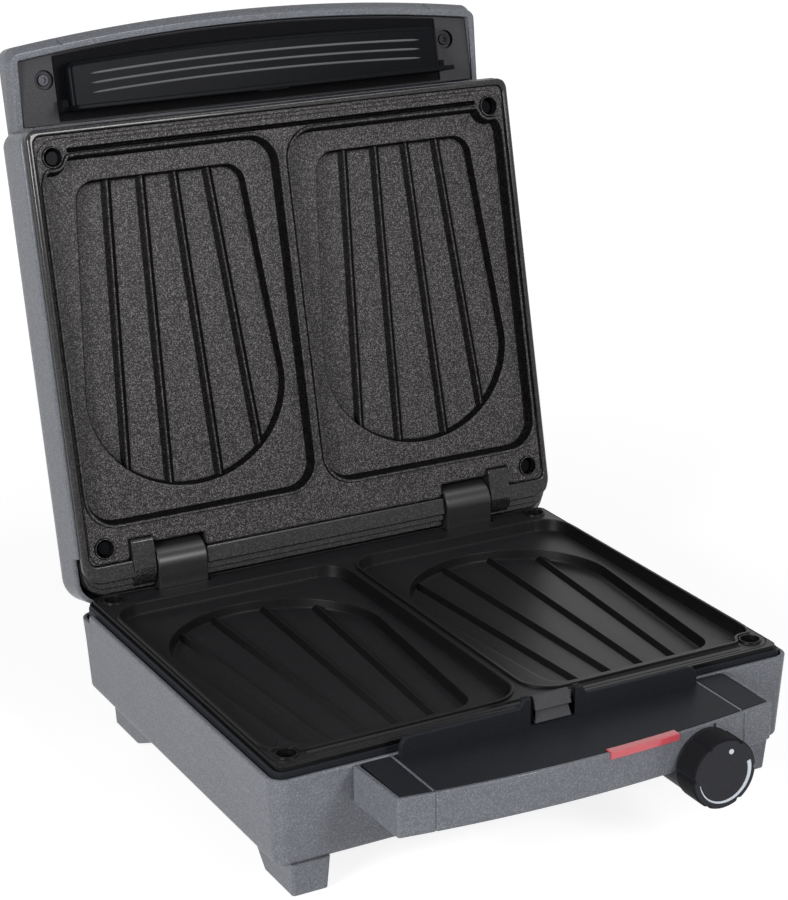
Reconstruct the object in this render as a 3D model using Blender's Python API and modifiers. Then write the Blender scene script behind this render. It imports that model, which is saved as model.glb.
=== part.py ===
"""Sandwich maker with two scalloped toasting pockets, shown with its lid open.

Lengths are metres. Every piece is drawn in the closed position, with X across
the width, Y from the front rim to the back and Z up from the table. The lid
and its latch lever then turn on their pivots to the open rest position.
"""
import math

import bmesh
import bpy
from mathutils import Matrix, Vector

# Gaps between neighbours, and how far a cutter runs past what it cuts
CLEARANCE = 0.0003
SLIP_FIT = 0.0006
OVERRUN = 0.002

# Base shell: a drafted tub with a rim that drops at the back
BODY_WIDTH = 0.290
BODY_DEPTH = 0.2358
FOOT_HEIGHT = 0.0177
SHELL_HEIGHT = 0.0458
SHELL_WALL = 0.0023
SHELL_INSET = 0.0032
SHELL_CORNER = 0.0085
SHELL_EDGE = 0.003
REAR_DROP = 0.0045
REAR_DROP_LENGTH = 0.0163

# Hinge: axis, knuckles on the base, ears on the lid, pins between them
HINGE_INSET = 0.0006
HINGE_RISE = 0.0159
OPEN_ANGLE = math.radians(103.03)
KNUCKLE_WIDTH = 0.0285
KNUCKLE_RADIUS = 0.0115
NECK_DEPTH = 0.0274
PIN_RADIUS = 0.003
PIN_END = 0.001
EAR_SIDE = 0.029
EAR_WIDTH = 0.0129
EAR_RADIUS = 0.0105
EAR_LENGTH = 0.016
EAR_DROP = 0.0108

# Frames that hold the plates in both halves
FRAME_WALL_SIDE = 0.002
FRAME_WALL_FRONT = 0.0012
FRAME_LEDGE = 0.0037
FRAME_BAND = 0.0025
FRAME_CORNER = 0.006
FRAME_REAR_INSET = 0.0036

# Plates, given for the lower one: the upper one mirrors it
PLATE_RISE = 0.0047
PLATE_SLAB = 0.0077
PLATE_GAP = 0.0004
PLATE_CORNER = 0.004
PLATE_REAR_INSET = 0.006
LIP_HEIGHT = 0.0013
LIP_WIDTH = 0.0018
CAVITY_DEPTH = 0.0052
CAVITY_SIDE = 0.003
CAVITY_FRONT = 0.0118
CAVITY_REAR = 0.0198
CAVITY_DIVIDER = 0.007
CAVITY_CORNER = 0.014
SCALLOP_DEPTH = 0.0055
SCALLOP_SIDE = 0.00925
SCALLOP_FRONT = 0.0137
SCALLOP_REAR = 0.0133
SCALLOP_WALL = 0.0025
BOWL_GAP = 0.0006
RIDGE_HEIGHT = 0.0018
RIDGE_WIDTH = 0.0022
BOSS_RADIUS = 0.0066
BOSS_HOLE = 0.0052
BOSS_SIDE = 0.0103
BOSS_FRONT = 0.0116
BOSS_REAR = 0.0084
BOSS_HEIGHT = 0.001
PLATE_SCREW_HEAD = 0.0044
PLATE_SCREW_HEAD_HEIGHT = 0.0025
PLATE_SCREW_SHANK = 0.002
PLATE_SCREW_REACH = 0.0025

# Scallop outline as shares of its own half width and length
SCALLOP_TOP_WIDTH_SHARE = 0.826
SCALLOP_TOP_CORNER_SHARE = 0.19
SCALLOP_WIDEST_SHARE = 0.69
RIDGE_FRONT_SHARES = (-0.506, -0.165, 0.167, 0.504)
RIDGE_REAR_SHARES = (-0.67, -0.26, 0.252, 0.692)
RIDGE_START_SHARE = 0.03
RIDGE_END_SHARES = (0.90, 0.965, 0.965, 0.90)

# Heating elements and the trays behind them
ELEMENT_RADIUS = 0.0033
ELEMENT_SIDE = 0.036
ELEMENT_FRONT = 0.022
ELEMENT_REAR = 0.012
ELEMENT_BEND = 0.025
TRAY_SHEET = 0.0008
TRAY_FLANGE = 0.0045

# Feet
FOOT_SIDE = 0.0077
FOOT_WIDTH = 0.0185
FOOT_FRONT = 0.0044
FOOT_LENGTH = 0.0304
FOOT_REAR_INSET = 0.0193
FOOT_SLANT_FRONT = 0.0142
FOOT_SLANT_REAR = 0.0365
FOOT_FLARE = 0.0008
FOOT_ROUND = 0.0015
PAD_PROUD = 0.001
PAD_DEPTH = 0.0028
PAD_INSET = 0.003

# Bottom cover and its screws
COVER_THICKNESS = 0.0022
COVER_SIDE = 0.047
COVER_FRONT = 0.028
COVER_REAR = 0.0338
COVER_OVERLAP = 0.010
COVER_CORNER = 0.006
COVER_SCREW_INSET = 0.005
COVER_SCREW_HEAD = 0.0032
COVER_SCREW_HEAD_HEIGHT = 0.0016
COVER_SCREW_SHANK = 0.0015
COVER_SCREW_LENGTH = 0.0055

# Base handle: a trough with a black centre cover and two end blocks
HANDLE_ROOT_HALF = 0.1042
HANDLE_TIP_HALF = 0.1029
HANDLE_REACH = 0.040
HANDLE_BOW = 0.0081
HANDLE_HEIGHT = 0.020
HANDLE_WALL = 0.002
HANDLE_END_WIDTH = 0.0184
HANDLE_RIB = 0.0013
HANDLE_COVER = 0.0025
HANDLE_COVER_BACK = 0.0006
COVER_LEG_RADIUS = 0.0022
COVER_LEG_SIDE = 0.0042
COVER_LEG_FRONT = 0.008
COVER_LEG_REAR = 0.010

# Crumb fences and the latch catch on the handle
FENCE_HEIGHT = 0.0105
FENCE_FRONT = 0.006
FENCE_THICKNESS = 0.003
FENCE_ROUND = 0.006
FENCE_END = 0.0012
FENCE_RAMP = 0.0026
CHEEK_INNER = 0.0125
CHEEK_OUTER = 0.016
CHEEK_HEIGHT = 0.0145
CHEEK_BACK = 0.001
CATCH_HALF = 0.010
CATCH_BACK = 0.0008
CATCH_TOP = 0.0135
CATCH_TOOTH = 0.0064
CATCH_CREST = 0.0022

# Indicator bar and its lamp
BAR_LENGTH = 0.039
BAR_KNOB_GAP = 0.016
BAR_PROUD = 0.0008
BAR_DEPTH = 0.0038
BAR_HEIGHT = 0.003
LAMP_LENGTH = 0.020
LAMP_DEPTH = 0.006
LAMP_HEIGHT = 0.008

# Thermostat knob, its shaft and housing
KNOB_SIDE = 0.0250
KNOB_DROP = 0.0183
KNOB_RADIUS = 0.0178
KNOB_DEPTH = 0.0144
KNOB_BEVEL = 0.0013
KNOB_BORE_DEPTH = 0.0094
KNOB_NOTCHES = 6
KNOB_NOTCH_RADIUS = 0.0016
KNOB_NOTCH_DEPTH = 0.0009
SHAFT_RADIUS = 0.003
HOUSING_RADIUS = 0.017
HOUSING_WALL = 0.0025
HOUSING_BORE = 0.0122
HOUSING_PROUD = 0.0024
THERMOSTAT_RADIUS = 0.0085
THERMOSTAT_LENGTH = 0.012
THERMOSTAT_END = 0.002

# Cable gland and terminal block at the back
GLAND_RISE = 0.0163
GLAND_HOLE = 0.0064
GLAND_FLANGE = 0.0088
GLAND_FLANGE_THICKNESS = 0.0017
GLAND_NOSE = 0.0085
GLAND_NOSE_RADIUS = 0.008
GLAND_TIP_RADIUS = 0.0056
GLAND_BORE = 0.0036
BLOCK_WIDTH = 0.040
BLOCK_DEPTH = 0.016
BLOCK_HEIGHT = 0.012
BLOCK_REAR = 0.012

# Lid shell, measured from the hinge axis
LID_RIM_DROP = 0.0045
LID_HEIGHT = 0.0415
LID_STRAIGHT = 0.0245
LID_BACK = 0.0175
LID_REAR_CORNER = 0.014
LID_NOTCH_FRONT = 0.0102
LID_NOTCH_RISE = 0.0065
LID_FLANGE_INSET = 0.0015
LID_FLANGE_FRONT = 0.0008
LID_STEP_BACK = 0.008
LID_STEP_DROP = 0.007
LID_FLANGE_BACK = 0.0045
LID_INSERT_BACK = 0.011
LID_FRAME_REAR_CORNER = 0.010
LID_POCKET_MARGIN = 0.0008

# Lid handle
NOSE_SIDE = 0.0054
NOSE_REACH = 0.0421
NOSE_BOW = 0.0096
NOSE_LIP_SIDE = 0.0008
NOSE_LIP_FRONT = 0.0036
NOSE_RIM_RISE = 0.0155
NOSE_SLOPE = 0.117
NOSE_TOP_DROP = 0.002
NOSE_ROUND = 0.008
NOSE_CORNER = 0.006
NOSE_WALL = 0.0038
NOSE_ROOT = 0.030
PANEL_THICKNESS = 0.003
PANEL_BACK = 0.0008
GRIP_SCREW_SIDE = 0.0192
GRIP_SCREW_REACH = 0.0244
GRIP_SCREW_BORE = 0.0052
GRIP_SCREW_BORE_DEPTH = 0.0016
GRIP_SCREW_HEAD = 0.00345
GRIP_SCREW_HEAD_HEIGHT = 0.001
GRIP_SCREW_SHANK = 0.0016
GRIP_SCREW_LENGTH = 0.009
POST_RADIUS = 0.004

# Latch lever on the lid handle
LEVER_SIDE = 0.0291
LEVER_BACK = 0.0078
LEVER_REACH = 0.0321
LEVER_BOW = 0.0035
LEVER_PROUD = 0.010
LEVER_SHEET = 0.0024
LEVER_WALL = 0.0022
LEVER_SKIRT = 0.0037
LIP_BAR_END = 0.0015
LIP_BAR_BACK = 0.0068
LIP_BAR_THICKNESS = 0.0025
LIP_BAR_HEIGHT = 0.0158
SLOT_HALF = 0.0135
SLOT_RISE = 0.0025
SLOT_HEIGHT = 0.0085
HOOK_HALF = 0.009
HOOK_REACH = 0.00045
HOOK_HEIGHT = 0.0021
RIB_COUNT = 3
RIB_WIDTH = 0.001
RIB_PROUD = 0.0006
RIB_PITCH = 0.005
RIB_FRONT = 0.007
RIB_SIDE = 0.0135
PIVOT_BACK = 0.003
PIVOT_RISE = 0.0056
PIVOT_PIN_RADIUS = 0.0015
PIVOT_PIN_INNER = 0.0105
LUG_THICKNESS = 0.0035
LUG_HALF = 0.0032
EAR_PLATE = 0.0022
EAR_PLATE_RISE = 0.0024
SPRING_COIL_RADIUS = 0.0023
SPRING_WIRE_RADIUS = 0.00035
SPRING_PITCH = 0.00105
SPRING_TURNS = 4
SPRING_STEPS = 9
SPRING_GAP = 0.0009

# Facet counts
CORNER_STEPS = 4
CROWN_STEPS = 4
ROUND_STEPS = 32
KNUCKLE_STEPS = 24
BORE_STEPS = 16
SCREW_STEPS = 10
BOW_STEPS = 10

# Levels and edges that several pieces share
HALF_WIDTH = BODY_WIDTH / 2
RIM_Z = FOOT_HEIGHT + SHELL_HEIGHT
FLOOR_Z = FOOT_HEIGHT + SHELL_WALL
DRAFT = SHELL_INSET / SHELL_HEIGHT
HINGE_Y = BODY_DEPTH - HINGE_INSET
HINGE_Z = RIM_Z + HINGE_RISE
EAR_OUTER = HALF_WIDTH - EAR_SIDE
EAR_INNER = EAR_OUTER - EAR_WIDTH
KNUCKLE_OUTER = EAR_INNER - SLIP_FIT
KNUCKLE_INNER = KNUCKLE_OUTER - KNUCKLE_WIDTH
NECK_FRONT_Y = HINGE_Y - KNUCKLE_RADIUS
NECK_BOTTOM_Z = HINGE_Z - NECK_DEPTH
NECK_REAR_Y = BODY_DEPTH - SHELL_WALL - DRAFT * (RIM_Z - NECK_BOTTOM_Z) - CLEARANCE

PLATE_Z = RIM_Z + PLATE_RISE
SLAB_Z = PLATE_Z - PLATE_SLAB
LIP_Z = PLATE_Z + LIP_HEIGHT
MIDDLE_Z = LIP_Z + PLATE_GAP / 2
LEDGE_Z = SLAB_Z - CLEARANCE
FRAME_BOTTOM_Z = LEDGE_Z - FRAME_LEDGE
FRAME_INSET = SHELL_WALL + DRAFT * (RIM_Z - FRAME_BOTTOM_Z) + CLEARANCE
FRAME_HALF = HALF_WIDTH - FRAME_INSET
FRAME_FRONT_Y = FRAME_INSET
FRAME_REAR_Y = BODY_DEPTH - FRAME_REAR_INSET
PLATE_HALF = FRAME_HALF - FRAME_WALL_SIDE - CLEARANCE
PLATE_FRONT_Y = FRAME_FRONT_Y + FRAME_WALL_FRONT + CLEARANCE
PLATE_REAR_Y = BODY_DEPTH - PLATE_REAR_INSET
CAVITY_Z = PLATE_Z - CAVITY_DEPTH
SCALLOP_Z = CAVITY_Z - SCALLOP_DEPTH
BOWL_Z = SCALLOP_Z - SCALLOP_WALL

CAVITY_INNER = CAVITY_DIVIDER / 2
CAVITY_OUTER = PLATE_HALF - CAVITY_SIDE
CAVITY_FRONT_Y = PLATE_FRONT_Y + CAVITY_FRONT
CAVITY_REAR_Y = PLATE_REAR_Y - CAVITY_REAR
CAVITY_X = (CAVITY_INNER + CAVITY_OUTER) / 2
SCALLOP_HALF = (CAVITY_OUTER - CAVITY_INNER) / 2 - SCALLOP_SIDE
SCALLOP_FRONT_Y = CAVITY_FRONT_Y + SCALLOP_FRONT
SCALLOP_REAR_Y = CAVITY_REAR_Y - SCALLOP_REAR
SCALLOP_LENGTH = SCALLOP_REAR_Y - SCALLOP_FRONT_Y
OPENING_HALF = CAVITY_X + SCALLOP_HALF + SCALLOP_WALL + BOWL_GAP
OPENING_FRONT_Y = SCALLOP_FRONT_Y - SCALLOP_WALL - BOWL_GAP
OPENING_REAR_Y = SCALLOP_REAR_Y + SCALLOP_WALL + BOWL_GAP
TRAY_TOP_Z = FRAME_BOTTOM_Z - CLEARANCE
ELEMENT_Z = BOWL_Z - CLEARANCE - ELEMENT_RADIUS
TRAY_FLOOR_Z = ELEMENT_Z - ELEMENT_RADIUS - CLEARANCE

HANDLE_TOP_Z = RIM_Z
HANDLE_BOTTOM_Z = RIM_Z - HANDLE_HEIGHT
HANDLE_BACK_Y = -CLEARANCE
RIB_X = HANDLE_TIP_HALF - HANDLE_END_WIDTH
KNOB_X = RIB_X - KNOB_SIDE
KNOB_Z = RIM_Z - KNOB_DROP
BAR_END_X = KNOB_X - BAR_KNOB_GAP

LID_RIM_Z = HINGE_Z - LID_RIM_DROP
LID_TOP_Z = LID_RIM_Z + LID_HEIGHT
LID_FRONT_Y = FRAME_FRONT_Y - SHELL_WALL - SLIP_FIT
LID_BACK_Y = HINGE_Y + LID_BACK
LID_NOTCH_Y = HINGE_Y - LID_NOTCH_FRONT
LID_NOTCH_Z = LID_RIM_Z + LID_NOTCH_RISE
NOSE_HALF = HALF_WIDTH - NOSE_SIDE
NOSE_RIM_Z = HINGE_Z + NOSE_RIM_RISE
NOSE_TOP_Z = LID_TOP_Z - NOSE_TOP_DROP
PANEL_Z = NOSE_RIM_Z - CLEARANCE / 3
PANEL_TOP_Z = PANEL_Z + PANEL_THICKNESS
GRIP_SCREW_X = NOSE_HALF - GRIP_SCREW_SIDE
GRIP_SCREW_Y = -GRIP_SCREW_REACH
LEVER_HALF = NOSE_HALF - LEVER_SIDE
LIP_BAR_HALF = LEVER_HALF + LIP_BAR_END
LEVER_Z = PANEL_Z - LEVER_PROUD
LEVER_INSIDE_Z = LEVER_Z + LEVER_SHEET
LEVER_TOP_Z = LEVER_INSIDE_Z + LEVER_SKIRT
PIVOT_Y = -LIP_BAR_BACK - PIVOT_BACK
PIVOT_Z = LEVER_Z + PIVOT_RISE
LIP_BAR_TOP_Z = LEVER_INSIDE_Z
LIP_BAR_Z = LIP_BAR_TOP_Z - LIP_BAR_HEIGHT


class Body:
    """One rigid body: an empty on its joint axis, and where that axis is."""

    def __init__(self, name, point, parent=None, angle=0.0):
        self.point = Vector(point)
        self.empty = bpy.data.objects.new(name, None)
        bpy.context.scene.collection.objects.link(self.empty)
        self.empty.location = self.point - (parent.point if parent else Vector())
        self.empty.rotation_euler.x = angle
        if parent:
            self.empty.parent = parent.empty


def clear_scene():
    for old in list(bpy.data.objects):
        bpy.data.objects.remove(old, do_unlink=True)


def make_collection(name):
    collection = bpy.data.collections.new(name)
    bpy.context.scene.collection.children.link(collection)
    return collection


def make_material(name, color, roughness, metallic=0.0):
    material = bpy.data.materials.new(name)
    material.use_nodes = True
    shader = material.node_tree.nodes["Principled BSDF"]
    shader.inputs["Base Color"].default_value = (*color, 1.0)
    shader.inputs["Roughness"].default_value = roughness
    shader.inputs["Metallic"].default_value = metallic
    material.diffuse_color = (*color, 1.0)
    return material


clear_scene()
PARTS = make_collection("sandwich_maker")
CUTTERS = make_collection("cutters")

BASE = Body("base_body", (0, 0, 0))
KNOB = Body("knob_pivot", (KNOB_X, -HANDLE_REACH, KNOB_Z), BASE)
LID = Body("lid_pivot", (0, HINGE_Y, HINGE_Z), BASE, -OPEN_ANGLE)
LATCH = Body("latch_pivot", (0, PIVOT_Y, PIVOT_Z), LID)


# Shapes

def add_object(name, body, mesh):
    """Put a mesh drawn in the closed position on its body, as a cutter for now."""
    shape = bpy.data.objects.new(name, mesh)
    CUTTERS.objects.link(shape)
    shape.parent = body.empty
    shape.location = -body.point
    shape.hide_render = True
    shape.display_type = "WIRE"
    return shape


def finish(shape, material, smooth_angle=30):
    """Turn a shape into a finished piece of the sandwich maker."""
    CUTTERS.objects.unlink(shape)
    PARTS.objects.link(shape)
    shape.hide_render = False
    shape.display_type = "TEXTURED"
    shape.data.materials.append(material)
    shape.data.shade_smooth()
    shape.data.set_sharp_from_angle(angle=math.radians(smooth_angle))
    return shape


def combine(shape, others, operation):
    for other in others:
        step = shape.modifiers.new(other.name, "BOOLEAN")
        step.operation = operation
        step.object = other
        step.solver = "EXACT"
    return shape


def cut(shape, *others):
    return combine(shape, others, "DIFFERENCE")


def join(shape, *others):
    return combine(shape, others, "UNION")


def block(name, body, x, y, z):
    """A box from its spans along X, Y and Z."""
    mesh = bpy.data.meshes.new(name)
    cube = bmesh.new()
    bmesh.ops.create_cube(cube, size=1.0)
    centre = Vector((sum(x), sum(y), sum(z))) / 2
    size = (abs(x[1] - x[0]), abs(y[1] - y[0]), abs(z[1] - z[0]))
    place = Matrix.Translation(centre) @ Matrix.Diagonal((*size, 1))
    bmesh.ops.transform(cube, matrix=place, verts=cube.verts)
    cube.to_mesh(mesh)
    cube.free()
    return add_object(name, body, mesh)


AXIS_TURNS = {
    "X": Matrix.Rotation(math.pi / 2, 4, "Y"),
    "Y": Matrix.Rotation(-math.pi / 2, 4, "X"),
    "Z": Matrix.Identity(4),
}


def cylinder(name, body, axis, centre, radius, span, steps=BORE_STEPS):
    """A cylinder along one axis: centre gives the other two coordinates in order."""
    mesh = bpy.data.meshes.new(name)
    drum = bmesh.new()
    bmesh.ops.create_cone(drum, cap_ends=True, segments=steps, radius1=radius,
                          radius2=radius, depth=abs(span[1] - span[0]))
    place = list(centre)
    place.insert("XYZ".index(axis), sum(span) / 2)
    drum.transform(Matrix.Translation(place) @ AXIS_TURNS[axis])
    drum.to_mesh(mesh)
    drum.free()
    return add_object(name, body, mesh)


PRISM_TURNS = {
    "X": Matrix(((0, 0, 1, 0), (1, 0, 0, 0), (0, 1, 0, 0), (0, 0, 0, 1))),
    "Y": Matrix.Rotation(math.pi / 2, 4, "X"),
    "Z": Matrix.Identity(4),
}


def prism(name, body, outline, span, axis="Z"):
    """A flat outline run along one axis: (y, z), (x, z) or (x, y) points for X, Y or Z."""
    curve = bpy.data.curves.new(name, "CURVE")
    curve.dimensions = "2D"
    curve.fill_mode = "BOTH"
    curve.extrude = abs(span[1] - span[0]) / 2
    spline = curve.splines.new("POLY")
    spline.points.add(len(outline) - 1)
    for point, (across, up) in zip(spline.points, outline):
        point.co = (across, up, 0, 1)
    spline.use_cyclic_u = True
    drawn = bpy.data.objects.new(name, curve)
    bpy.context.scene.collection.objects.link(drawn)
    graph = bpy.context.evaluated_depsgraph_get()
    mesh = bpy.data.meshes.new_from_object(drawn.evaluated_get(graph))
    bpy.data.objects.remove(drawn, do_unlink=True)
    welded = bmesh.new()
    welded.from_mesh(mesh)
    bmesh.ops.remove_doubles(welded, verts=welded.verts, dist=CLEARANCE / 30)
    shift = [0, 0, 0]
    shift["XYZ".index(axis)] = sum(span) / 2
    welded.transform(Matrix.Translation(shift) @ PRISM_TURNS[axis])
    bmesh.ops.recalc_face_normals(welded, faces=welded.faces)
    welded.to_mesh(mesh)
    welded.free()
    return add_object(name, body, mesh)


def loft(name, body, rings):
    """A closed skin over rings of equal length, listed from bottom to top."""
    mesh = bpy.data.meshes.new(name)
    skin = bmesh.new()
    rows = [[skin.verts.new(point) for point in ring] for ring in rings]
    for low, high in zip(rows, rows[1:]):
        for here in range(len(low)):
            after = (here + 1) % len(low)
            skin.faces.new((low[here], low[after], high[after], high[here]))
    skin.faces.new(list(reversed(rows[0])))
    skin.faces.new(rows[-1])
    bmesh.ops.recalc_face_normals(skin, faces=skin.faces)
    skin.to_mesh(mesh)
    skin.free()
    return add_object(name, body, mesh)


def turned(name, body, profile, point, direction, steps):
    """A profile of (radius, height) points spun round an axis along +Y, -Y, +Z or -Z."""
    mesh = bpy.data.meshes.new(name)
    closed = profile[0][0] > 0
    line = bmesh.new()
    points = [line.verts.new((radius, 0, height)) for radius, height in profile]
    pairs = list(zip(points, points[1:]))
    if closed:
        pairs.append((points[-1], points[0]))
    for pair in pairs:
        line.edges.new(pair)
    line.to_mesh(mesh)
    line.free()
    shape = add_object(name, body, mesh)
    spin = shape.modifiers.new("turn", "SCREW")
    spin.steps = steps
    spin.render_steps = steps
    spin.use_merge_vertices = True
    spin.merge_threshold = CLEARANCE / 30
    turns = {"+Z": 0.0, "-Z": math.pi, "+Y": -math.pi / 2, "-Y": math.pi / 2}
    shape.rotation_euler.x = turns[direction]
    shape.location = Vector(point) - body.point
    return shape


def tube(name, body, points, radius):
    """A round bar along a list of points, with closed ends."""
    curve = bpy.data.curves.new(name, "CURVE")
    curve.dimensions = "3D"
    curve.bevel_depth = radius
    curve.bevel_resolution = 2
    curve.use_fill_caps = True
    spline = curve.splines.new("POLY")
    spline.points.add(len(points) - 1)
    for target, point in zip(spline.points, points):
        target.co = (*point, 1)
    drawn = bpy.data.objects.new(name, curve)
    bpy.context.scene.collection.objects.link(drawn)
    graph = bpy.context.evaluated_depsgraph_get()
    mesh = bpy.data.meshes.new_from_object(drawn.evaluated_get(graph))
    bpy.data.objects.remove(drawn, do_unlink=True)
    welded = bmesh.new()
    welded.from_mesh(mesh)
    bmesh.ops.remove_doubles(welded, verts=welded.verts, dist=CLEARANCE / 30)
    bmesh.ops.recalc_face_normals(welded, faces=welded.faces)
    welded.to_mesh(mesh)
    welded.free()
    return add_object(name, body, mesh)


# Outlines

def arc(centre, radius, start, end, steps):
    """Points on an arc, angles in degrees counted from +X towards +Y."""
    points = []
    for step in range(steps + 1):
        angle = math.radians(start + (end - start) * step / steps)
        points.append((centre[0] + radius * math.cos(angle), centre[1] + radius * math.sin(angle)))
    return points


def rounded(x, y, front, steps=CORNER_STEPS, rear=None):
    """A rectangle with round corners, the rear pair with a radius of their own if given."""
    rear = front if rear is None else rear
    corners = (
        ((x[1] - front, y[0] + front), front, -90),
        ((x[1] - rear, y[1] - rear), rear, 0),
        ((x[0] + rear, y[1] - rear), rear, 90),
        ((x[0] + front, y[0] + front), front, 180),
    )
    points = []
    for centre, radius, start in corners:
        points += arc(centre, radius, start, start + 90, steps)
    return points


def at_height(outline, z):
    return [(x, y, z) for x, y in outline]


def bowed_front(half, reach, bow, x):
    """Front edge that bows out: y = -(reach + bow (1 - (x / half)^2))."""
    return -(reach + bow * (1 - (x / half) ** 2))


def handle_outline(x, inset, back):
    """Plan of a stretch of the base handle, its front edge following the bow."""
    front = []
    for step in range(BOW_STEPS + 1):
        across = x[0] + (x[1] - x[0]) * step / BOW_STEPS
        front.append((across, bowed_front(HANDLE_TIP_HALF, HANDLE_REACH, HANDLE_BOW, across) + inset))
    return [(x[1], back), (x[0], back)] + front


def nose_outline(side, front, back):
    """Plan of the lid handle with round front corners, moved in at its sides and front."""
    half = NOSE_HALF - side
    radius = max(NOSE_CORNER - side, NOSE_CORNER / 4)
    reach = NOSE_REACH - front
    points = arc((half - radius, radius - reach), radius, 0, -75, CORNER_STEPS)
    edge = half - radius
    for step in range(1, BOW_STEPS):
        across = edge - 2 * edge * step / BOW_STEPS
        points.append((across, bowed_front(NOSE_HALF, reach, NOSE_BOW, across)))
    points += arc((radius - half, radius - reach), radius, -105, -180, CORNER_STEPS)
    return [(half, back)] + points + [(-half, back)]


def nose_inside(gap, back):
    """Plan of the hollow in the lid handle, or of a piece that fits it with a gap."""
    side = NOSE_LIP_SIDE + NOSE_WALL + gap
    return nose_outline(side, NOSE_LIP_FRONT + NOSE_WALL + gap, back)


def lever_outline(inset, back):
    """Plan of the lever pad, bowed like the handle's front edge."""
    half = LEVER_HALF - inset
    front = []
    for step in range(BOW_STEPS + 1):
        across = -half + 2 * half * step / BOW_STEPS
        front.append((across, bowed_front(LEVER_HALF, LEVER_REACH, LEVER_BOW, across) + inset))
    return [(half, back), (-half, back)] + front


def scallop_outline(centre_x, grow):
    """Pocket with a straight front, flaring sides and a half-elliptic rear end."""
    half = SCALLOP_HALF + grow
    top_half = SCALLOP_HALF * SCALLOP_TOP_WIDTH_SHARE + grow
    corner = SCALLOP_HALF * SCALLOP_TOP_CORNER_SHARE + grow
    front = SCALLOP_FRONT_Y - grow
    widest = SCALLOP_FRONT_Y + SCALLOP_LENGTH * SCALLOP_WIDEST_SHARE
    rear = SCALLOP_REAR_Y + grow - widest
    points = arc((centre_x + top_half - corner, front + corner), corner, -90, -5, CORNER_STEPS)
    steps = 3 * CORNER_STEPS
    for step in range(steps + 1):
        angle = math.pi * step / steps
        points.append((centre_x + half * math.cos(angle), widest + rear * math.sin(angle)))
    points += arc((centre_x - top_half + corner, front + corner), corner, 185, 270, CORNER_STEPS)
    return points


# Base housing

def tub(name, inset, bottom, top):
    """Drafted box with round corners and a small rounding under its walls."""
    rings = []
    for step in range(3):
        turn = math.pi / 2 * step / 2
        edge = SHELL_EDGE * (1 - math.sin(turn))
        height = bottom + SHELL_EDGE * (1 - math.cos(turn))
        rings.append((edge, height))
    rings.append((0.0, top))
    sections = []
    for edge, height in rings:
        side = inset + edge + DRAFT * (RIM_Z - height)
        outline = rounded((side - HALF_WIDTH, HALF_WIDTH - side), (side, BODY_DEPTH - side),
                          SHELL_CORNER - inset + edge / 2)
        sections.append(at_height(outline, height))
    return loft(name, BASE, sections)


def cover_screw_places():
    x = HALF_WIDTH - COVER_SIDE - COVER_SCREW_INSET
    front = COVER_FRONT + COVER_SCREW_INSET
    rear = BODY_DEPTH - COVER_REAR - COVER_SCREW_INSET
    return [(-x, front), (x, front), (-x, rear), (x, rear)]


def make_base_shell(material):
    shell = tub("base_shell", 0.0, FOOT_HEIGHT, RIM_Z)
    cut(shell, tub("base_shell_inside", SHELL_WALL, FLOOR_Z, RIM_Z + OVERRUN))
    over = HALF_WIDTH + OVERRUN
    cut(shell, block("rear_rim_drop", BASE, (-over, over),
                     (BODY_DEPTH - REAR_DROP_LENGTH, BODY_DEPTH + OVERRUN),
                     (RIM_Z - REAR_DROP, RIM_Z + OVERRUN)))
    hole_x = HALF_WIDTH - COVER_SIDE - COVER_OVERLAP
    hole_y = (COVER_FRONT + COVER_OVERLAP, BODY_DEPTH - COVER_REAR - COVER_OVERLAP)
    through = (FOOT_HEIGHT - OVERRUN, FLOOR_Z + OVERRUN)
    cut(shell, block("service_opening", BASE, (-hole_x, hole_x), hole_y, through))
    for number, place in enumerate(cover_screw_places(), 1):
        cut(shell, cylinder(f"cover_screw_hole_{number}", BASE, "Z", place,
                            COVER_SCREW_SHANK + CLEARANCE, through, SCREW_STEPS))
    cut(shell, cylinder("shaft_hole", BASE, "Y", (KNOB_X, KNOB_Z), SHAFT_RADIUS + SLIP_FIT,
                        (-OVERRUN, SHELL_INSET + SHELL_WALL + OVERRUN)))
    gland_z = FOOT_HEIGHT + GLAND_RISE
    cut(shell, cylinder("gland_hole", BASE, "Y", (0, gland_z), GLAND_HOLE,
                        (BODY_DEPTH - SHELL_INSET - SHELL_WALL - OVERRUN, BODY_DEPTH + OVERRUN)))
    finish(shell, material)


def make_bottom_cover(material, screw_material):
    x = HALF_WIDTH - COVER_SIDE
    top = FOOT_HEIGHT - CLEARANCE
    bottom = top - COVER_THICKNESS
    outline = rounded((-x, x), (COVER_FRONT, BODY_DEPTH - COVER_REAR), COVER_CORNER)
    cover = prism("bottom_cover", BASE, outline, (bottom, top))
    for number, place in enumerate(cover_screw_places(), 1):
        cut(cover, cylinder(f"cover_hole_{number}", BASE, "Z", place,
                            COVER_SCREW_SHANK + CLEARANCE, (bottom - OVERRUN, top + OVERRUN),
                            SCREW_STEPS))
        screw(f"cover_screw_{number}", BASE, (*place, bottom - CLEARANCE), "-Z",
              (COVER_SCREW_HEAD, COVER_SCREW_HEAD_HEIGHT), (COVER_SCREW_SHANK, COVER_SCREW_LENGTH),
              screw_material)
    finish(cover, material)


def screw(name, body, seat, direction, head, shank, material):
    """A pan head outwards along the direction, its shank the other way."""
    head_radius, head_height = head
    shank_radius, length = shank
    crown = head_height / 3
    profile = [
        (0, head_height), (head_radius - crown, head_height), (head_radius, head_height - crown),
        (head_radius, 0), (shank_radius, 0), (shank_radius, -length), (0, -length),
    ]
    finish(turned(name, body, profile, seat, direction, SCREW_STEPS), material)


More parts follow.
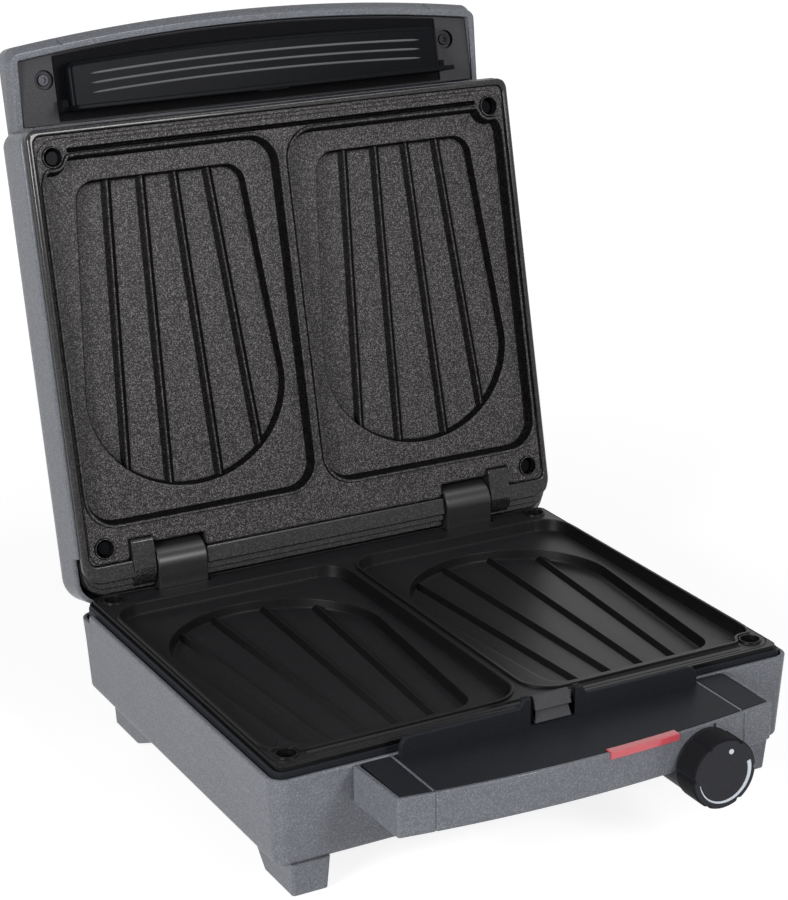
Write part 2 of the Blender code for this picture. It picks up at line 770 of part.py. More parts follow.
def make_feet(material, pad_material):
    inner = HALF_WIDTH - SHELL_INSET - FOOT_SIDE - FOOT_WIDTH
    outer = inner + FOOT_WIDTH
    top = FOOT_HEIGHT - CLEARANCE
    rear_y = BODY_DEPTH - FOOT_REAR_INSET
    ends = {
        "front": ((FOOT_FRONT, FOOT_FRONT + FOOT_LENGTH), (-2 * FOOT_FLARE, FOOT_SLANT_FRONT)),
        "rear": ((rear_y - FOOT_LENGTH, rear_y), (-FOOT_SLANT_REAR, FOOT_FLARE)),
    }
    for end, (y, slant) in ends.items():
        for side, sign in (("left", -1), ("right", 1)):
            low_x = sorted((sign * inner, sign * outer))
            low = rounded(low_x, y, FOOT_ROUND, 2)
            high_x = (low_x[0] - FOOT_FLARE, low_x[1] + FOOT_FLARE)
            high = rounded(high_x, (y[0] + slant[0], y[1] + slant[1]), FOOT_ROUND, 2)
            foot = loft(f"foot_{end}_{side}", BASE, [at_height(low, PAD_PROUD), at_height(high, top)])
            pad_x = (low_x[0] + PAD_INSET, low_x[1] - PAD_INSET)
            pad_y = (y[0] + PAD_INSET, y[1] - PAD_INSET)
            grown_x = (pad_x[0] - CLEARANCE, pad_x[1] + CLEARANCE)
            grown_y = (pad_y[0] - CLEARANCE, pad_y[1] + CLEARANCE)
            cut(foot, block(f"pad_pocket_{end}_{side}", BASE, grown_x, grown_y,
                            (PAD_PROUD - OVERRUN, PAD_DEPTH + CLEARANCE)))
            finish(foot, material)
            finish(block(f"foot_pad_{end}_{side}", BASE, pad_x, pad_y, (0, PAD_DEPTH)), pad_material)


# Plates, frames, heating elements and trays: one stack, mirrored for the lid

def flip(z):
    return 2 * MIDDLE_Z - z


def levels(upper, *z):
    """A span of heights for the lower half, or its mirror image for the lid."""
    return tuple(sorted(flip(height) for height in z)) if upper else z


def boss_places():
    x = PLATE_HALF - BOSS_SIDE
    front = PLATE_FRONT_Y + BOSS_FRONT
    rear = PLATE_REAR_Y - BOSS_REAR
    return [(-x, front), (x, front), (-x, rear), (x, rear)]


def side_span(sign, inner, outer):
    return tuple(sorted((sign * inner, sign * outer)))


def make_plate(name, body, upper, material, screw_material):
    top = levels(upper, SLAB_Z, PLATE_Z)
    outline = rounded((-PLATE_HALF, PLATE_HALF), (PLATE_FRONT_Y, PLATE_REAR_Y), PLATE_CORNER)
    plate = prism(name, body, outline, top)
    seam = RIDGE_HEIGHT / 4
    for sign, side in ((-1, "left"), (1, "right")):
        centre = sign * CAVITY_X
        bowl = prism(f"{name}_bowl_{side}", body, scallop_outline(centre, SCALLOP_WALL),
                     levels(upper, BOWL_Z, SLAB_Z + seam))
        x = side_span(sign, CAVITY_INNER, CAVITY_OUTER)
        lip = prism(f"{name}_lip_{side}", body,
                    rounded((x[0] - LIP_WIDTH, x[1] + LIP_WIDTH),
                            (CAVITY_FRONT_Y - LIP_WIDTH, CAVITY_REAR_Y + LIP_WIDTH),
                            CAVITY_CORNER + LIP_WIDTH),
                    levels(upper, PLATE_Z - seam, LIP_Z))
        cavity = prism(f"{name}_cavity_{side}", body,
                       rounded(x, (CAVITY_FRONT_Y, CAVITY_REAR_Y), CAVITY_CORNER),
                       levels(upper, CAVITY_Z, LIP_Z + OVERRUN))
        pocket = prism(f"{name}_pocket_{side}", body, scallop_outline(centre, 0.0),
                       levels(upper, SCALLOP_Z, CAVITY_Z + seam))
        join(plate, bowl, lip)
        cut(plate, cavity, pocket)
        ridges = zip(RIDGE_FRONT_SHARES, RIDGE_REAR_SHARES, RIDGE_END_SHARES)
        for number, (front, rear, end) in enumerate(ridges, 1):
            start_y = SCALLOP_FRONT_Y + SCALLOP_LENGTH * RIDGE_START_SHARE
            end_y = SCALLOP_FRONT_Y + SCALLOP_LENGTH * end
            start_x = centre + front * SCALLOP_HALF
            end_x = centre + rear * SCALLOP_HALF
            wide = RIDGE_WIDTH / 2
            strip = [(start_x - wide, start_y), (start_x + wide, start_y),
                     (end_x + wide, end_y), (end_x - wide, end_y)]
            join(plate, prism(f"{name}_ridge_{side}_{number}", body, strip,
                              levels(upper, SCALLOP_Z - seam, SCALLOP_Z + RIDGE_HEIGHT)))
    for number, place in enumerate(boss_places(), 1):
        join(plate, cylinder(f"{name}_boss_{number}", body, "Z", place, BOSS_RADIUS,
                             levels(upper, SLAB_Z + seam, PLATE_Z + BOSS_HEIGHT)))
        cut(plate, cylinder(f"{name}_bore_{number}", body, "Z", place, BOSS_HOLE,
                            levels(upper, CAVITY_Z, LIP_Z + OVERRUN)))
        cut(plate, cylinder(f"{name}_hole_{number}", body, "Z", place,
                            PLATE_SCREW_SHANK + CLEARANCE,
                            levels(upper, SLAB_Z - OVERRUN, CAVITY_Z + OVERRUN), SCREW_STEPS))
        seat = CAVITY_Z + CLEARANCE
        reach = seat - FRAME_BOTTOM_Z + PLATE_SCREW_REACH
        screw(f"{name}_screw_{number}", body, (*place, flip(seat) if upper else seat),
              "-Z" if upper else "+Z", (PLATE_SCREW_HEAD, PLATE_SCREW_HEAD_HEIGHT),
              (PLATE_SCREW_SHANK, reach), screw_material)
    room = SLIP_FIT
    for sign, side in ((-1, "left"), (1, "right")):
        knuckle = side_span(sign, KNUCKLE_INNER - room, KNUCKLE_OUTER + room)
        height = levels(upper, SLAB_Z - OVERRUN, LIP_Z + OVERRUN)
        behind = PLATE_REAR_Y + OVERRUN
        front = NECK_FRONT_Y - (LID_POCKET_MARGIN if upper else room)
        cut(plate, block(f"{name}_knuckle_notch_{side}", body, knuckle, (front, behind), height))
        if upper:
            ear = side_span(sign, EAR_INNER - room, EAR_OUTER + CLEARANCE)
            front = HINGE_Y - EAR_LENGTH - CLEARANCE
            cut(plate, block(f"{name}_ear_notch_{side}", body, ear, (front, behind), height))
    finish(plate, material)


def frame_cutters(name, body, upper):
    """Plate recess, opening behind the bowls and screw holes, the same in both frames."""
    recess = rounded((-PLATE_HALF - CLEARANCE, PLATE_HALF + CLEARANCE),
                     (PLATE_FRONT_Y - CLEARANCE, PLATE_REAR_Y + CLEARANCE),
                     PLATE_CORNER + CLEARANCE)
    tools = [
        prism(f"{name}_recess", body, recess, levels(upper, LEDGE_Z, LIP_Z + OVERRUN)),
        block(f"{name}_opening", body, (-OPENING_HALF, OPENING_HALF),
              (OPENING_FRONT_Y, OPENING_REAR_Y),
              levels(upper, FRAME_BOTTOM_Z - OVERRUN, LEDGE_Z + OVERRUN)),
    ]
    for number, place in enumerate(boss_places(), 1):
        tools.append(cylinder(f"{name}_hole_{number}", body, "Z", place,
                              PLATE_SCREW_SHANK + CLEARANCE,
                              levels(upper, FRAME_BOTTOM_Z - OVERRUN, LEDGE_Z + OVERRUN),
                              SCREW_STEPS))
    return tools


def make_base_frame(material):
    lower = rounded((-FRAME_HALF, FRAME_HALF), (FRAME_FRONT_Y, FRAME_REAR_Y), FRAME_CORNER)
    frame = prism("base_frame", BASE, lower, (FRAME_BOTTOM_Z, RIM_Z + FRAME_BAND))
    cut(frame, *frame_cutters("base_frame", BASE, False))
    for sign, side in ((-1, "left"), (1, "right")):
        x = side_span(sign, KNUCKLE_INNER - CLEARANCE, KNUCKLE_OUTER + CLEARANCE)
        cut(frame, block(f"base_frame_slot_{side}", BASE, x,
                         (NECK_FRONT_Y - CLEARANCE, FRAME_REAR_Y + OVERRUN),
                         (FRAME_BOTTOM_Z - OVERRUN, PLATE_Z + OVERRUN)))
    finish(frame, material)


def make_lid_frame(material):
    flange_half = HALF_WIDTH - LID_FLANGE_INSET
    flange_z = flip(LIP_Z)
    insert_top = flip(FRAME_BOTTOM_Z)
    seat = LID_RIM_Z - CLEARANCE
    frame = prism("lid_frame", LID,
                  rounded((-flange_half, flange_half),
                          (LID_FLANGE_FRONT, HINGE_Y + LID_FLANGE_BACK), FRAME_CORNER,
                          rear=LID_FRAME_REAR_CORNER),
                  (flange_z, seat))
    join(frame, prism("lid_frame_step", LID,
                      rounded((-FRAME_HALF, FRAME_HALF), (FRAME_FRONT_Y, HINGE_Y + LID_STEP_BACK),
                              FRAME_CORNER, rear=LID_FRAME_REAR_CORNER),
                      (HINGE_Z - LID_STEP_DROP, seat)))
    join(frame, prism("lid_frame_insert", LID,
                      rounded((-FRAME_HALF, FRAME_HALF), (FRAME_FRONT_Y, HINGE_Y + LID_INSERT_BACK),
                              FRAME_CORNER, rear=LID_FRAME_REAR_CORNER),
                      (seat - CLEARANCE, insert_top)))
    cut(frame, *frame_cutters("lid_frame", LID, True))
    for sign, side in ((-1, "left"), (1, "right")):
        pocket = side_span(sign, KNUCKLE_INNER - SLIP_FIT, EAR_INNER)
        ear = side_span(sign, EAR_INNER, EAR_OUTER)
        cut(frame, block(f"lid_frame_pocket_{side}", LID, pocket,
                         (NECK_FRONT_Y - LID_POCKET_MARGIN, HINGE_Y + LID_INSERT_BACK + OVERRUN),
                         (flange_z - OVERRUN, insert_top + OVERRUN)))
        join(frame, block(f"lid_ear_block_{side}", LID, ear, (HINGE_Y - EAR_LENGTH, HINGE_Y),
                          (HINGE_Z - EAR_DROP, insert_top - FRAME_LEDGE / 4)))
        join(frame, cylinder(f"lid_ear_{side}", LID, "X", (HINGE_Y, HINGE_Z), EAR_RADIUS, ear,
                             KNUCKLE_STEPS))
        cut(frame, cylinder(f"lid_ear_bore_{side}", LID, "X", (HINGE_Y, HINGE_Z),
                            PIN_RADIUS + CLEARANCE,
                            side_span(sign, EAR_INNER - OVERRUN, EAR_OUTER + OVERRUN)))
    finish(frame, material)


def make_hinge(knuckle_material, pin_material):
    for sign, side in ((-1, "left"), (1, "right")):
        x = side_span(sign, KNUCKLE_INNER, KNUCKLE_OUTER)
        knuckle = cylinder(f"hinge_knuckle_{side}", BASE, "X", (HINGE_Y, HINGE_Z),
                           KNUCKLE_RADIUS, x, KNUCKLE_STEPS)
        join(knuckle, block(f"hinge_neck_{side}", BASE, x, (NECK_FRONT_Y, NECK_REAR_Y),
                            (NECK_BOTTOM_Z, HINGE_Z)))
        through = side_span(sign, KNUCKLE_INNER - OVERRUN, KNUCKLE_OUTER + OVERRUN)
        cut(knuckle, cylinder(f"hinge_bore_{side}", BASE, "X", (HINGE_Y, HINGE_Z),
                              PIN_RADIUS + CLEARANCE, through))
        finish(knuckle, knuckle_material)
        pin = cylinder(f"hinge_pin_{side}", BASE, "X", (HINGE_Y, HINGE_Z), PIN_RADIUS,
                       side_span(sign, KNUCKLE_INNER + PIN_END, EAR_OUTER - PIN_END))
        finish(pin, pin_material)


def make_element(name, body, upper, material):
    """A bar bent to a wide U under both pockets."""
    z = flip(ELEMENT_Z) if upper else ELEMENT_Z
    x = OPENING_HALF - ELEMENT_SIDE
    front = OPENING_FRONT_Y + ELEMENT_FRONT
    rear = OPENING_REAR_Y - ELEMENT_REAR
    bend = ELEMENT_BEND
    route = [(-x, rear)] + arc((bend - x, front + bend), bend, 180, 270, 6)
    route += arc((x - bend, front + bend), bend, 270, 360, 6) + [(x, rear)]
    finish(tube(name, body, [(a, b, z) for a, b in route], ELEMENT_RADIUS), material)


def make_tray(name, body, upper, material):
    """Sheet tray that hangs by its flange behind the frame and carries the element."""
    flange = block(name, body,
                   (-OPENING_HALF - TRAY_FLANGE, OPENING_HALF + TRAY_FLANGE),
                   (OPENING_FRONT_Y - TRAY_FLANGE, OPENING_REAR_Y + TRAY_FLANGE),
                   levels(upper, TRAY_TOP_Z - TRAY_SHEET, TRAY_TOP_Z))
    outer = block(f"{name}_outside", body,
                  (-OPENING_HALF - TRAY_SHEET, OPENING_HALF + TRAY_SHEET),
                  (OPENING_FRONT_Y - TRAY_SHEET, OPENING_REAR_Y + TRAY_SHEET),
                  levels(upper, TRAY_FLOOR_Z - TRAY_SHEET, TRAY_TOP_Z - TRAY_SHEET / 2))
    inner = block(f"{name}_inside", body, (-OPENING_HALF, OPENING_HALF),
                  (OPENING_FRONT_Y, OPENING_REAR_Y),
                  levels(upper, TRAY_FLOOR_Z, TRAY_TOP_Z + OVERRUN))
    finish(cut(join(flange, outer), inner), material)


# Base handle and what it carries

def handle_trough():
    back = HANDLE_BACK_Y
    tip = handle_outline((-HANDLE_TIP_HALF, HANDLE_TIP_HALF), 0.0, back)
    return [(HANDLE_ROOT_HALF, back), (-HANDLE_ROOT_HALF, back)] + tip[2:]


def handle_bays():
    """Spans across X of the left end, the centre and the right end of the handle."""
    rib = HANDLE_RIB / 2
    wall = HANDLE_TIP_HALF - HANDLE_WALL
    return {
        "end_left": (-wall, -RIB_X - rib),
        "centre": (-RIB_X + rib, RIB_X - rib),
        "end_right": (RIB_X + rib, wall),
    }


def make_handle_shell(material):
    shell = prism("base_handle_shell", BASE, handle_trough(), (HANDLE_BOTTOM_Z, HANDLE_TOP_Z))
    for name, x in handle_bays().items():
        cut(shell, prism(f"handle_bay_{name}", BASE, handle_outline(x, HANDLE_WALL, OVERRUN),
                         (HANDLE_BOTTOM_Z + HANDLE_WALL, HANDLE_TOP_Z + OVERRUN)))
    tip_y = -(HANDLE_REACH + HANDLE_BOW)
    cut(shell, cylinder("housing_hole", BASE, "Y", (KNOB_X, KNOB_Z), HOUSING_RADIUS + CLEARANCE,
                        (tip_y - OVERRUN, OVERRUN), ROUND_STEPS))
    cut(shell, prism("bar_seat", BASE, bar_outline(CLEARANCE, OVERRUN),
                     (HANDLE_TOP_Z - BAR_HEIGHT - CLEARANCE, HANDLE_TOP_Z + OVERRUN)))
    finish(shell, material)


def bar_outline(grow, proud):
    """Plan of the indicator bar along the bowed front edge."""
    x = (BAR_END_X - BAR_LENGTH - grow, BAR_END_X + grow)
    front = handle_outline(x, -proud, 0.0)[2:]
    rear = [(a, b + proud + BAR_DEPTH + grow) for a, b in front]
    return front + rear[::-1]


def make_indicator(bar_material, lamp_material):
    bar = prism("indicator_bar", BASE, bar_outline(0.0, BAR_PROUD),
                (HANDLE_TOP_Z - BAR_HEIGHT, HANDLE_TOP_Z + BAR_PROUD))
    finish(bar, bar_material)
    middle = BAR_END_X - BAR_LENGTH / 2
    back = bowed_front(HANDLE_TIP_HALF, HANDLE_REACH, HANDLE_BOW, BAR_END_X)
    front = back + HANDLE_WALL + SLIP_FIT
    top = HANDLE_TOP_Z - HANDLE_COVER - 2 * CLEARANCE - BAR_PROUD
    lamp = block("indicator_lamp", BASE, (middle - LAMP_LENGTH / 2, middle + LAMP_LENGTH / 2),
                 (front, front + LAMP_DEPTH), (top - LAMP_HEIGHT, top))
    finish(lamp, lamp_material)


def fence_profile(sign):
    """Fence seen from the front: round outer end, ramp up to the cheek by the catch."""
    base = HANDLE_TOP_Z - HANDLE_COVER / 2
    top = HANDLE_TOP_Z + FENCE_HEIGHT
    cheek = HANDLE_TOP_Z + CHEEK_HEIGHT
    outer = RIB_X - HANDLE_RIB / 2 - FENCE_END
    right = [(CHEEK_INNER, base), (outer, base)]
    right += arc((outer - FENCE_ROUND, top - FENCE_ROUND), FENCE_ROUND, 0, 90, CORNER_STEPS)
    right += [(CHEEK_OUTER + FENCE_RAMP, top), (CHEEK_OUTER, cheek), (CHEEK_INNER, cheek)]
    return [(sign * x, z) for x, z in right]


def make_handle_cover(material):
    x = handle_bays()["centre"]
    span = (x[0] + CLEARANCE, x[1] - CLEARANCE)
    under = HANDLE_TOP_Z - HANDLE_COVER
    inset = HANDLE_WALL + CLEARANCE
    cover = prism("handle_cover", BASE, handle_outline(span, inset, -HANDLE_COVER_BACK),
                  (under, HANDLE_TOP_Z))
    for sign, side in ((-1, "left"), (1, "right")):
        join(cover, prism(f"fence_{side}", BASE, fence_profile(sign),
                          (-FENCE_FRONT, FENCE_THICKNESS - FENCE_FRONT), "Y"))
        join(cover, block(f"cheek_{side}", BASE, side_span(sign, CHEEK_INNER, CHEEK_OUTER),
                          (-FENCE_FRONT + FENCE_THICKNESS / 2, -CHEEK_BACK),
                          (under + HANDLE_COVER / 2, HANDLE_TOP_Z + CHEEK_HEIGHT)))
        leg_x = sign * (x[1] - COVER_LEG_SIDE)
        edge_y = bowed_front(HANDLE_TIP_HALF, HANDLE_REACH, HANDLE_BOW, leg_x)
        for end, leg_y in (("front", edge_y + COVER_LEG_FRONT), ("rear", -COVER_LEG_REAR)):
            join(cover, cylinder(f"cover_leg_{end}_{side}", BASE, "Z", (leg_x, leg_y),
                                 COVER_LEG_RADIUS,
                                 (HANDLE_BOTTOM_Z + HANDLE_WALL + CLEARANCE, under + HANDLE_COVER / 2),
                                 SCREW_STEPS))
    cut(cover, prism("bar_room", BASE, bar_outline(2 * CLEARANCE, OVERRUN),
                     (under - OVERRUN, HANDLE_TOP_Z + OVERRUN)))
    finish(cover, material)


def make_handle_ends(material):
    for name in ("end_left", "end_right"):
        x = handle_bays()[name]
        span = (x[0] + CLEARANCE, x[1] - CLEARANCE)
        outline = handle_outline(span, HANDLE_WALL + CLEARANCE, -HANDLE_COVER_BACK)
        end = prism(f"handle_{name}", BASE, outline,
                    (HANDLE_BOTTOM_Z + HANDLE_WALL + CLEARANCE, HANDLE_TOP_Z))
        finish(end, material)


def make_catch(material):
    """Two sawteeth that slope forward and step back, facing the latch lever."""
    base = HANDLE_TOP_Z + CLEARANCE
    top = HANDLE_TOP_Z + CATCH_TOP
    profile = [(-CATCH_BACK, base), (-CATCH_BACK, top), (-FENCE_FRONT + FENCE_THICKNESS, top)]
    for tooth in (1, 2):
        low = top - tooth * CATCH_TOOTH
        profile += [(-FENCE_FRONT, low), (-FENCE_FRONT + FENCE_THICKNESS, low - CATCH_CREST / 8)]
    profile += [(-FENCE_FRONT + FENCE_THICKNESS, base)]
    finish(prism("latch_catch", BASE, profile, (-CATCH_HALF, CATCH_HALF), "X"), material)


def make_thermostat(housing_material, body_material):
    face = bowed_front(HANDLE_TIP_HALF, HANDLE_REACH, HANDLE_BOW, KNOB_X) - HOUSING_PROUD
    back = DRAFT * (HANDLE_COVER + CLEARANCE) - CLEARANCE
    housing = cylinder("thermostat_housing", BASE, "Y", (KNOB_X, KNOB_Z), HOUSING_RADIUS,
                       (face, back), ROUND_STEPS)
    cut(housing, cylinder("housing_inside", BASE, "Y", (KNOB_X, KNOB_Z), HOUSING_BORE,
                          (face + HOUSING_WALL, back + OVERRUN), BORE_STEPS))
    cut(housing, cylinder("housing_shaft_hole", BASE, "Y", (KNOB_X, KNOB_Z),
                          SHAFT_RADIUS + CLEARANCE, (face - OVERRUN, face + HOUSING_WALL + OVERRUN)))
    flat = HANDLE_TOP_Z - HANDLE_COVER - CLEARANCE
    side = HOUSING_RADIUS + OVERRUN
    cut(housing, block("housing_flat", BASE, (KNOB_X - side, KNOB_X + side),
                       (face + HOUSING_WALL - CLEARANCE, back + OVERRUN),
                       (flat, KNOB_Z + side)))
    finish(housing, housing_material)
    wall = SHELL_WALL + DRAFT * (RIM_Z - KNOB_Z + THERMOSTAT_RADIUS) + CLEARANCE
    switch = cylinder("thermostat", BASE, "Y", (KNOB_X, KNOB_Z), THERMOSTAT_RADIUS,
                      (wall, wall + THERMOSTAT_LENGTH), BORE_STEPS)
    cut(switch, cylinder("thermostat_bore", BASE, "Y", (KNOB_X, KNOB_Z), SHAFT_RADIUS + CLEARANCE,
                         (wall - OVERRUN, wall + THERMOSTAT_LENGTH - THERMOSTAT_END)))
    finish(switch, body_material)
    return face, wall + THERMOSTAT_LENGTH - THERMOSTAT_END - CLEARANCE


def make_knob(face, shaft_end, material, shaft_material):
    back = face - CLEARANCE
    bore = SHAFT_RADIUS + CLEARANCE
    rim = KNOB_RADIUS - KNOB_BEVEL
    profile = [
        (0, KNOB_DEPTH), (rim, KNOB_DEPTH), (KNOB_RADIUS, KNOB_DEPTH - KNOB_BEVEL),
        (KNOB_RADIUS, 0), (bore, 0), (bore, KNOB_BORE_DEPTH), (0, KNOB_BORE_DEPTH),
    ]
    knob = turned("thermostat_knob", KNOB, profile, (KNOB_X, back, KNOB_Z), "-Y", ROUND_STEPS)
    for number in range(KNOB_NOTCHES):
        angle = 2 * math.pi * (number + 0.5) / KNOB_NOTCHES
        distance = KNOB_RADIUS + KNOB_NOTCH_RADIUS - KNOB_NOTCH_DEPTH
        place = (KNOB_X + distance * math.sin(angle), KNOB_Z + distance * math.cos(angle))
        cut(knob, cylinder(f"knob_notch_{number + 1}", KNOB, "Y", place, KNOB_NOTCH_RADIUS,
                           (back - KNOB_DEPTH - OVERRUN, back + OVERRUN), SCREW_STEPS))
    finish(knob, material)
    shaft = cylinder("thermostat_shaft", KNOB, "Y", (KNOB_X, KNOB_Z), SHAFT_RADIUS,
                     (back - KNOB_BORE_DEPTH + CLEARANCE, shaft_end))
    finish(shaft, shaft_material)


def make_cable_entry(gland_material, block_material):
    z = FOOT_HEIGHT + GLAND_RISE
    lean = DRAFT * GLAND_FLANGE + CLEARANCE
    outside = BODY_DEPTH - DRAFT * (RIM_Z - z) + lean
    inside = BODY_DEPTH - DRAFT * (RIM_Z - z) - SHELL_WALL - lean
    neck = GLAND_HOLE - CLEARANCE
    profile = [
        (GLAND_BORE, GLAND_NOSE), (GLAND_TIP_RADIUS, GLAND_NOSE), (GLAND_NOSE_RADIUS, 0),
        (neck, 0), (neck, inside - outside), (GLAND_FLANGE, inside - outside),
        (GLAND_FLANGE, inside - outside - GLAND_FLANGE_THICKNESS),
        (GLAND_BORE, inside - outside - GLAND_FLANGE_THICKNESS),
    ]
    finish(turned("cable_gland", BASE, profile, (0, outside, z), "+Y", BORE_STEPS), gland_material)
    rear = BODY_DEPTH - SHELL_INSET - SHELL_WALL - BLOCK_REAR
    floor = FLOOR_Z + CLEARANCE
    terminals = block("terminal_block", BASE, (-BLOCK_WIDTH / 2, BLOCK_WIDTH / 2),
                      (rear - BLOCK_DEPTH, rear), (floor, floor + BLOCK_HEIGHT))
    finish(terminals, block_material)


# Lid housing and handle

def crown(name, inset, bottom, top):
    """Lid body: straight walls that round over to a flat top."""
    round_height = top - (LID_RIM_Z + LID_STRAIGHT)
    rings = [(0.0, bottom)]
    for step in range(CROWN_STEPS + 1):
        turn = math.pi / 2 * step / CROWN_STEPS
        rings.append((round_height * (1 - math.cos(turn)),
                      LID_RIM_Z + LID_STRAIGHT + round_height * math.sin(turn)))
    sections = []
    for edge, height in rings:
        side = inset + edge
        outline = rounded((side - HALF_WIDTH, HALF_WIDTH - side),
                          (LID_FRONT_Y + side, LID_BACK_Y - side),
                          SHELL_CORNER - inset + edge / 2,
                          rear=LID_REAR_CORNER - inset + edge / 2)
        sections.append(at_height(outline, height))
    return loft(name, LID, sections)


def nose_rim(y):
    """Height of the lid handle's lower rim, which falls towards the front."""
    return NOSE_RIM_Z + NOSE_SLOPE * y


def nose(name, foot, wall, top, below):
    """Lid handle: sloped lower rim, upright wall and a rounded upper edge."""
    sections = [[(x, y, nose_rim(y) - below) for x, y in foot]]
    for step in range(CROWN_STEPS + 1):
        turn = math.pi / 2 * step / CROWN_STEPS
        edge = NOSE_ROUND * (1 - math.cos(turn))
        height = top - NOSE_ROUND * (1 - math.sin(turn))
        share = 1 - edge / NOSE_HALF
        sections.append([(x * share, y + (edge if y < 0 else 0), height) for x, y in wall])
    return loft(name, LID, sections)


def make_lid_shell(material):
    shell = crown("lid_shell", 0.0, LID_RIM_Z, LID_TOP_Z)
    rim = nose_outline(NOSE_LIP_SIDE, NOSE_LIP_FRONT, NOSE_ROOT)
    wall = nose_outline(0.0, 0.0, NOSE_ROOT)
    handle = nose("lid_handle_outside", rim, wall, NOSE_TOP_Z, 0.0)
    join(shell, handle)
    cut(shell, crown("lid_inside", SHELL_WALL, LID_RIM_Z - OVERRUN, LID_TOP_Z - SHELL_WALL))
    hollow = nose_inside(0.0, -CLEARANCE)
    cut(shell, nose("lid_handle_inside", hollow, hollow, NOSE_TOP_Z - SHELL_WALL, NOSE_RIM_RISE))
    over = HALF_WIDTH + OVERRUN
    behind = LID_BACK_Y + OVERRUN
    cut(shell, block("lid_rim_notch", LID, (-over, over), (LID_NOTCH_Y, behind),
                     (LID_RIM_Z - OVERRUN, LID_NOTCH_Z)))
    clear = KNUCKLE_RADIUS + LID_POCKET_MARGIN
    for sign, side in ((-1, "left"), (1, "right")):
        x = side_span(sign, KNUCKLE_INNER - SLIP_FIT, KNUCKLE_OUTER + SLIP_FIT)
        cut(shell, block(f"lid_knuckle_notch_{side}", LID, x, (HINGE_Y, behind),
                         (LID_RIM_Z - OVERRUN, HINGE_Z + clear)))
        place = (sign * GRIP_SCREW_X, GRIP_SCREW_Y)
        foot = PANEL_TOP_Z + CLEARANCE
        join(shell, cylinder(f"grip_post_{side}", LID, "Z", place, POST_RADIUS,
                             (foot, NOSE_TOP_Z - SHELL_WALL / 2)))
        cut(shell, cylinder(f"grip_post_bore_{side}", LID, "Z", place,
                            GRIP_SCREW_SHANK + CLEARANCE,
                            (foot - OVERRUN, PANEL_Z + GRIP_SCREW_LENGTH + CLEARANCE + OVERRUN),
                            SCREW_STEPS))
    finish(shell, material)


def make_grip_panel(material, screw_material, pin_material):
    outline = nose_inside(CLEARANCE, -PANEL_BACK)
    panel = prism("grip_panel", LID, outline, (PANEL_Z, PANEL_TOP_Z))
    for sign, side in ((-1, "left"), (1, "right")):
        place = (sign * GRIP_SCREW_X, GRIP_SCREW_Y)
        seat = PANEL_Z + GRIP_SCREW_BORE_DEPTH
        cut(panel, cylinder(f"grip_counterbore_{side}", LID, "Z", place, GRIP_SCREW_BORE,
                            (PANEL_Z - OVERRUN, seat)))
        cut(panel, cylinder(f"grip_hole_{side}", LID, "Z", place, GRIP_SCREW_SHANK + CLEARANCE,
                            (seat - CLEARANCE, PANEL_TOP_Z + OVERRUN), SCREW_STEPS))
        screw(f"grip_screw_{side}", LID, (*place, seat - CLEARANCE), "-Z",
              (GRIP_SCREW_HEAD, GRIP_SCREW_HEAD_HEIGHT),
              (GRIP_SCREW_SHANK, GRIP_SCREW_LENGTH - GRIP_SCREW_BORE_DEPTH), screw_material)
        inner = LEVER_HALF + SLIP_FIT
        lug_x = side_span(sign, inner, inner + LUG_THICKNESS)
        join(panel, block(f"latch_lug_{side}", LID, lug_x,
                          (PIVOT_Y - LUG_HALF, PIVOT_Y + LUG_HALF),
                          (LIP_BAR_TOP_Z + SLIP_FIT, PANEL_Z + PANEL_THICKNESS / 2)))
        cut(panel, cylinder(f"latch_lug_bore_{side}", LID, "X", (PIVOT_Y, PIVOT_Z),
                            PIVOT_PIN_RADIUS + CLEARANCE,
                            side_span(sign, inner - OVERRUN, inner + LUG_THICKNESS + OVERRUN),
                            SCREW_STEPS))
        pin = cylinder(f"latch_pin_{side}", LID, "X", (PIVOT_Y, PIVOT_Z), PIVOT_PIN_RADIUS,
                       side_span(sign, LEVER_HALF - PIVOT_PIN_INNER,
                                 inner + LUG_THICKNESS - CLEARANCE), SCREW_STEPS)
        finish(pin, pin_material)
    finish(panel, material)


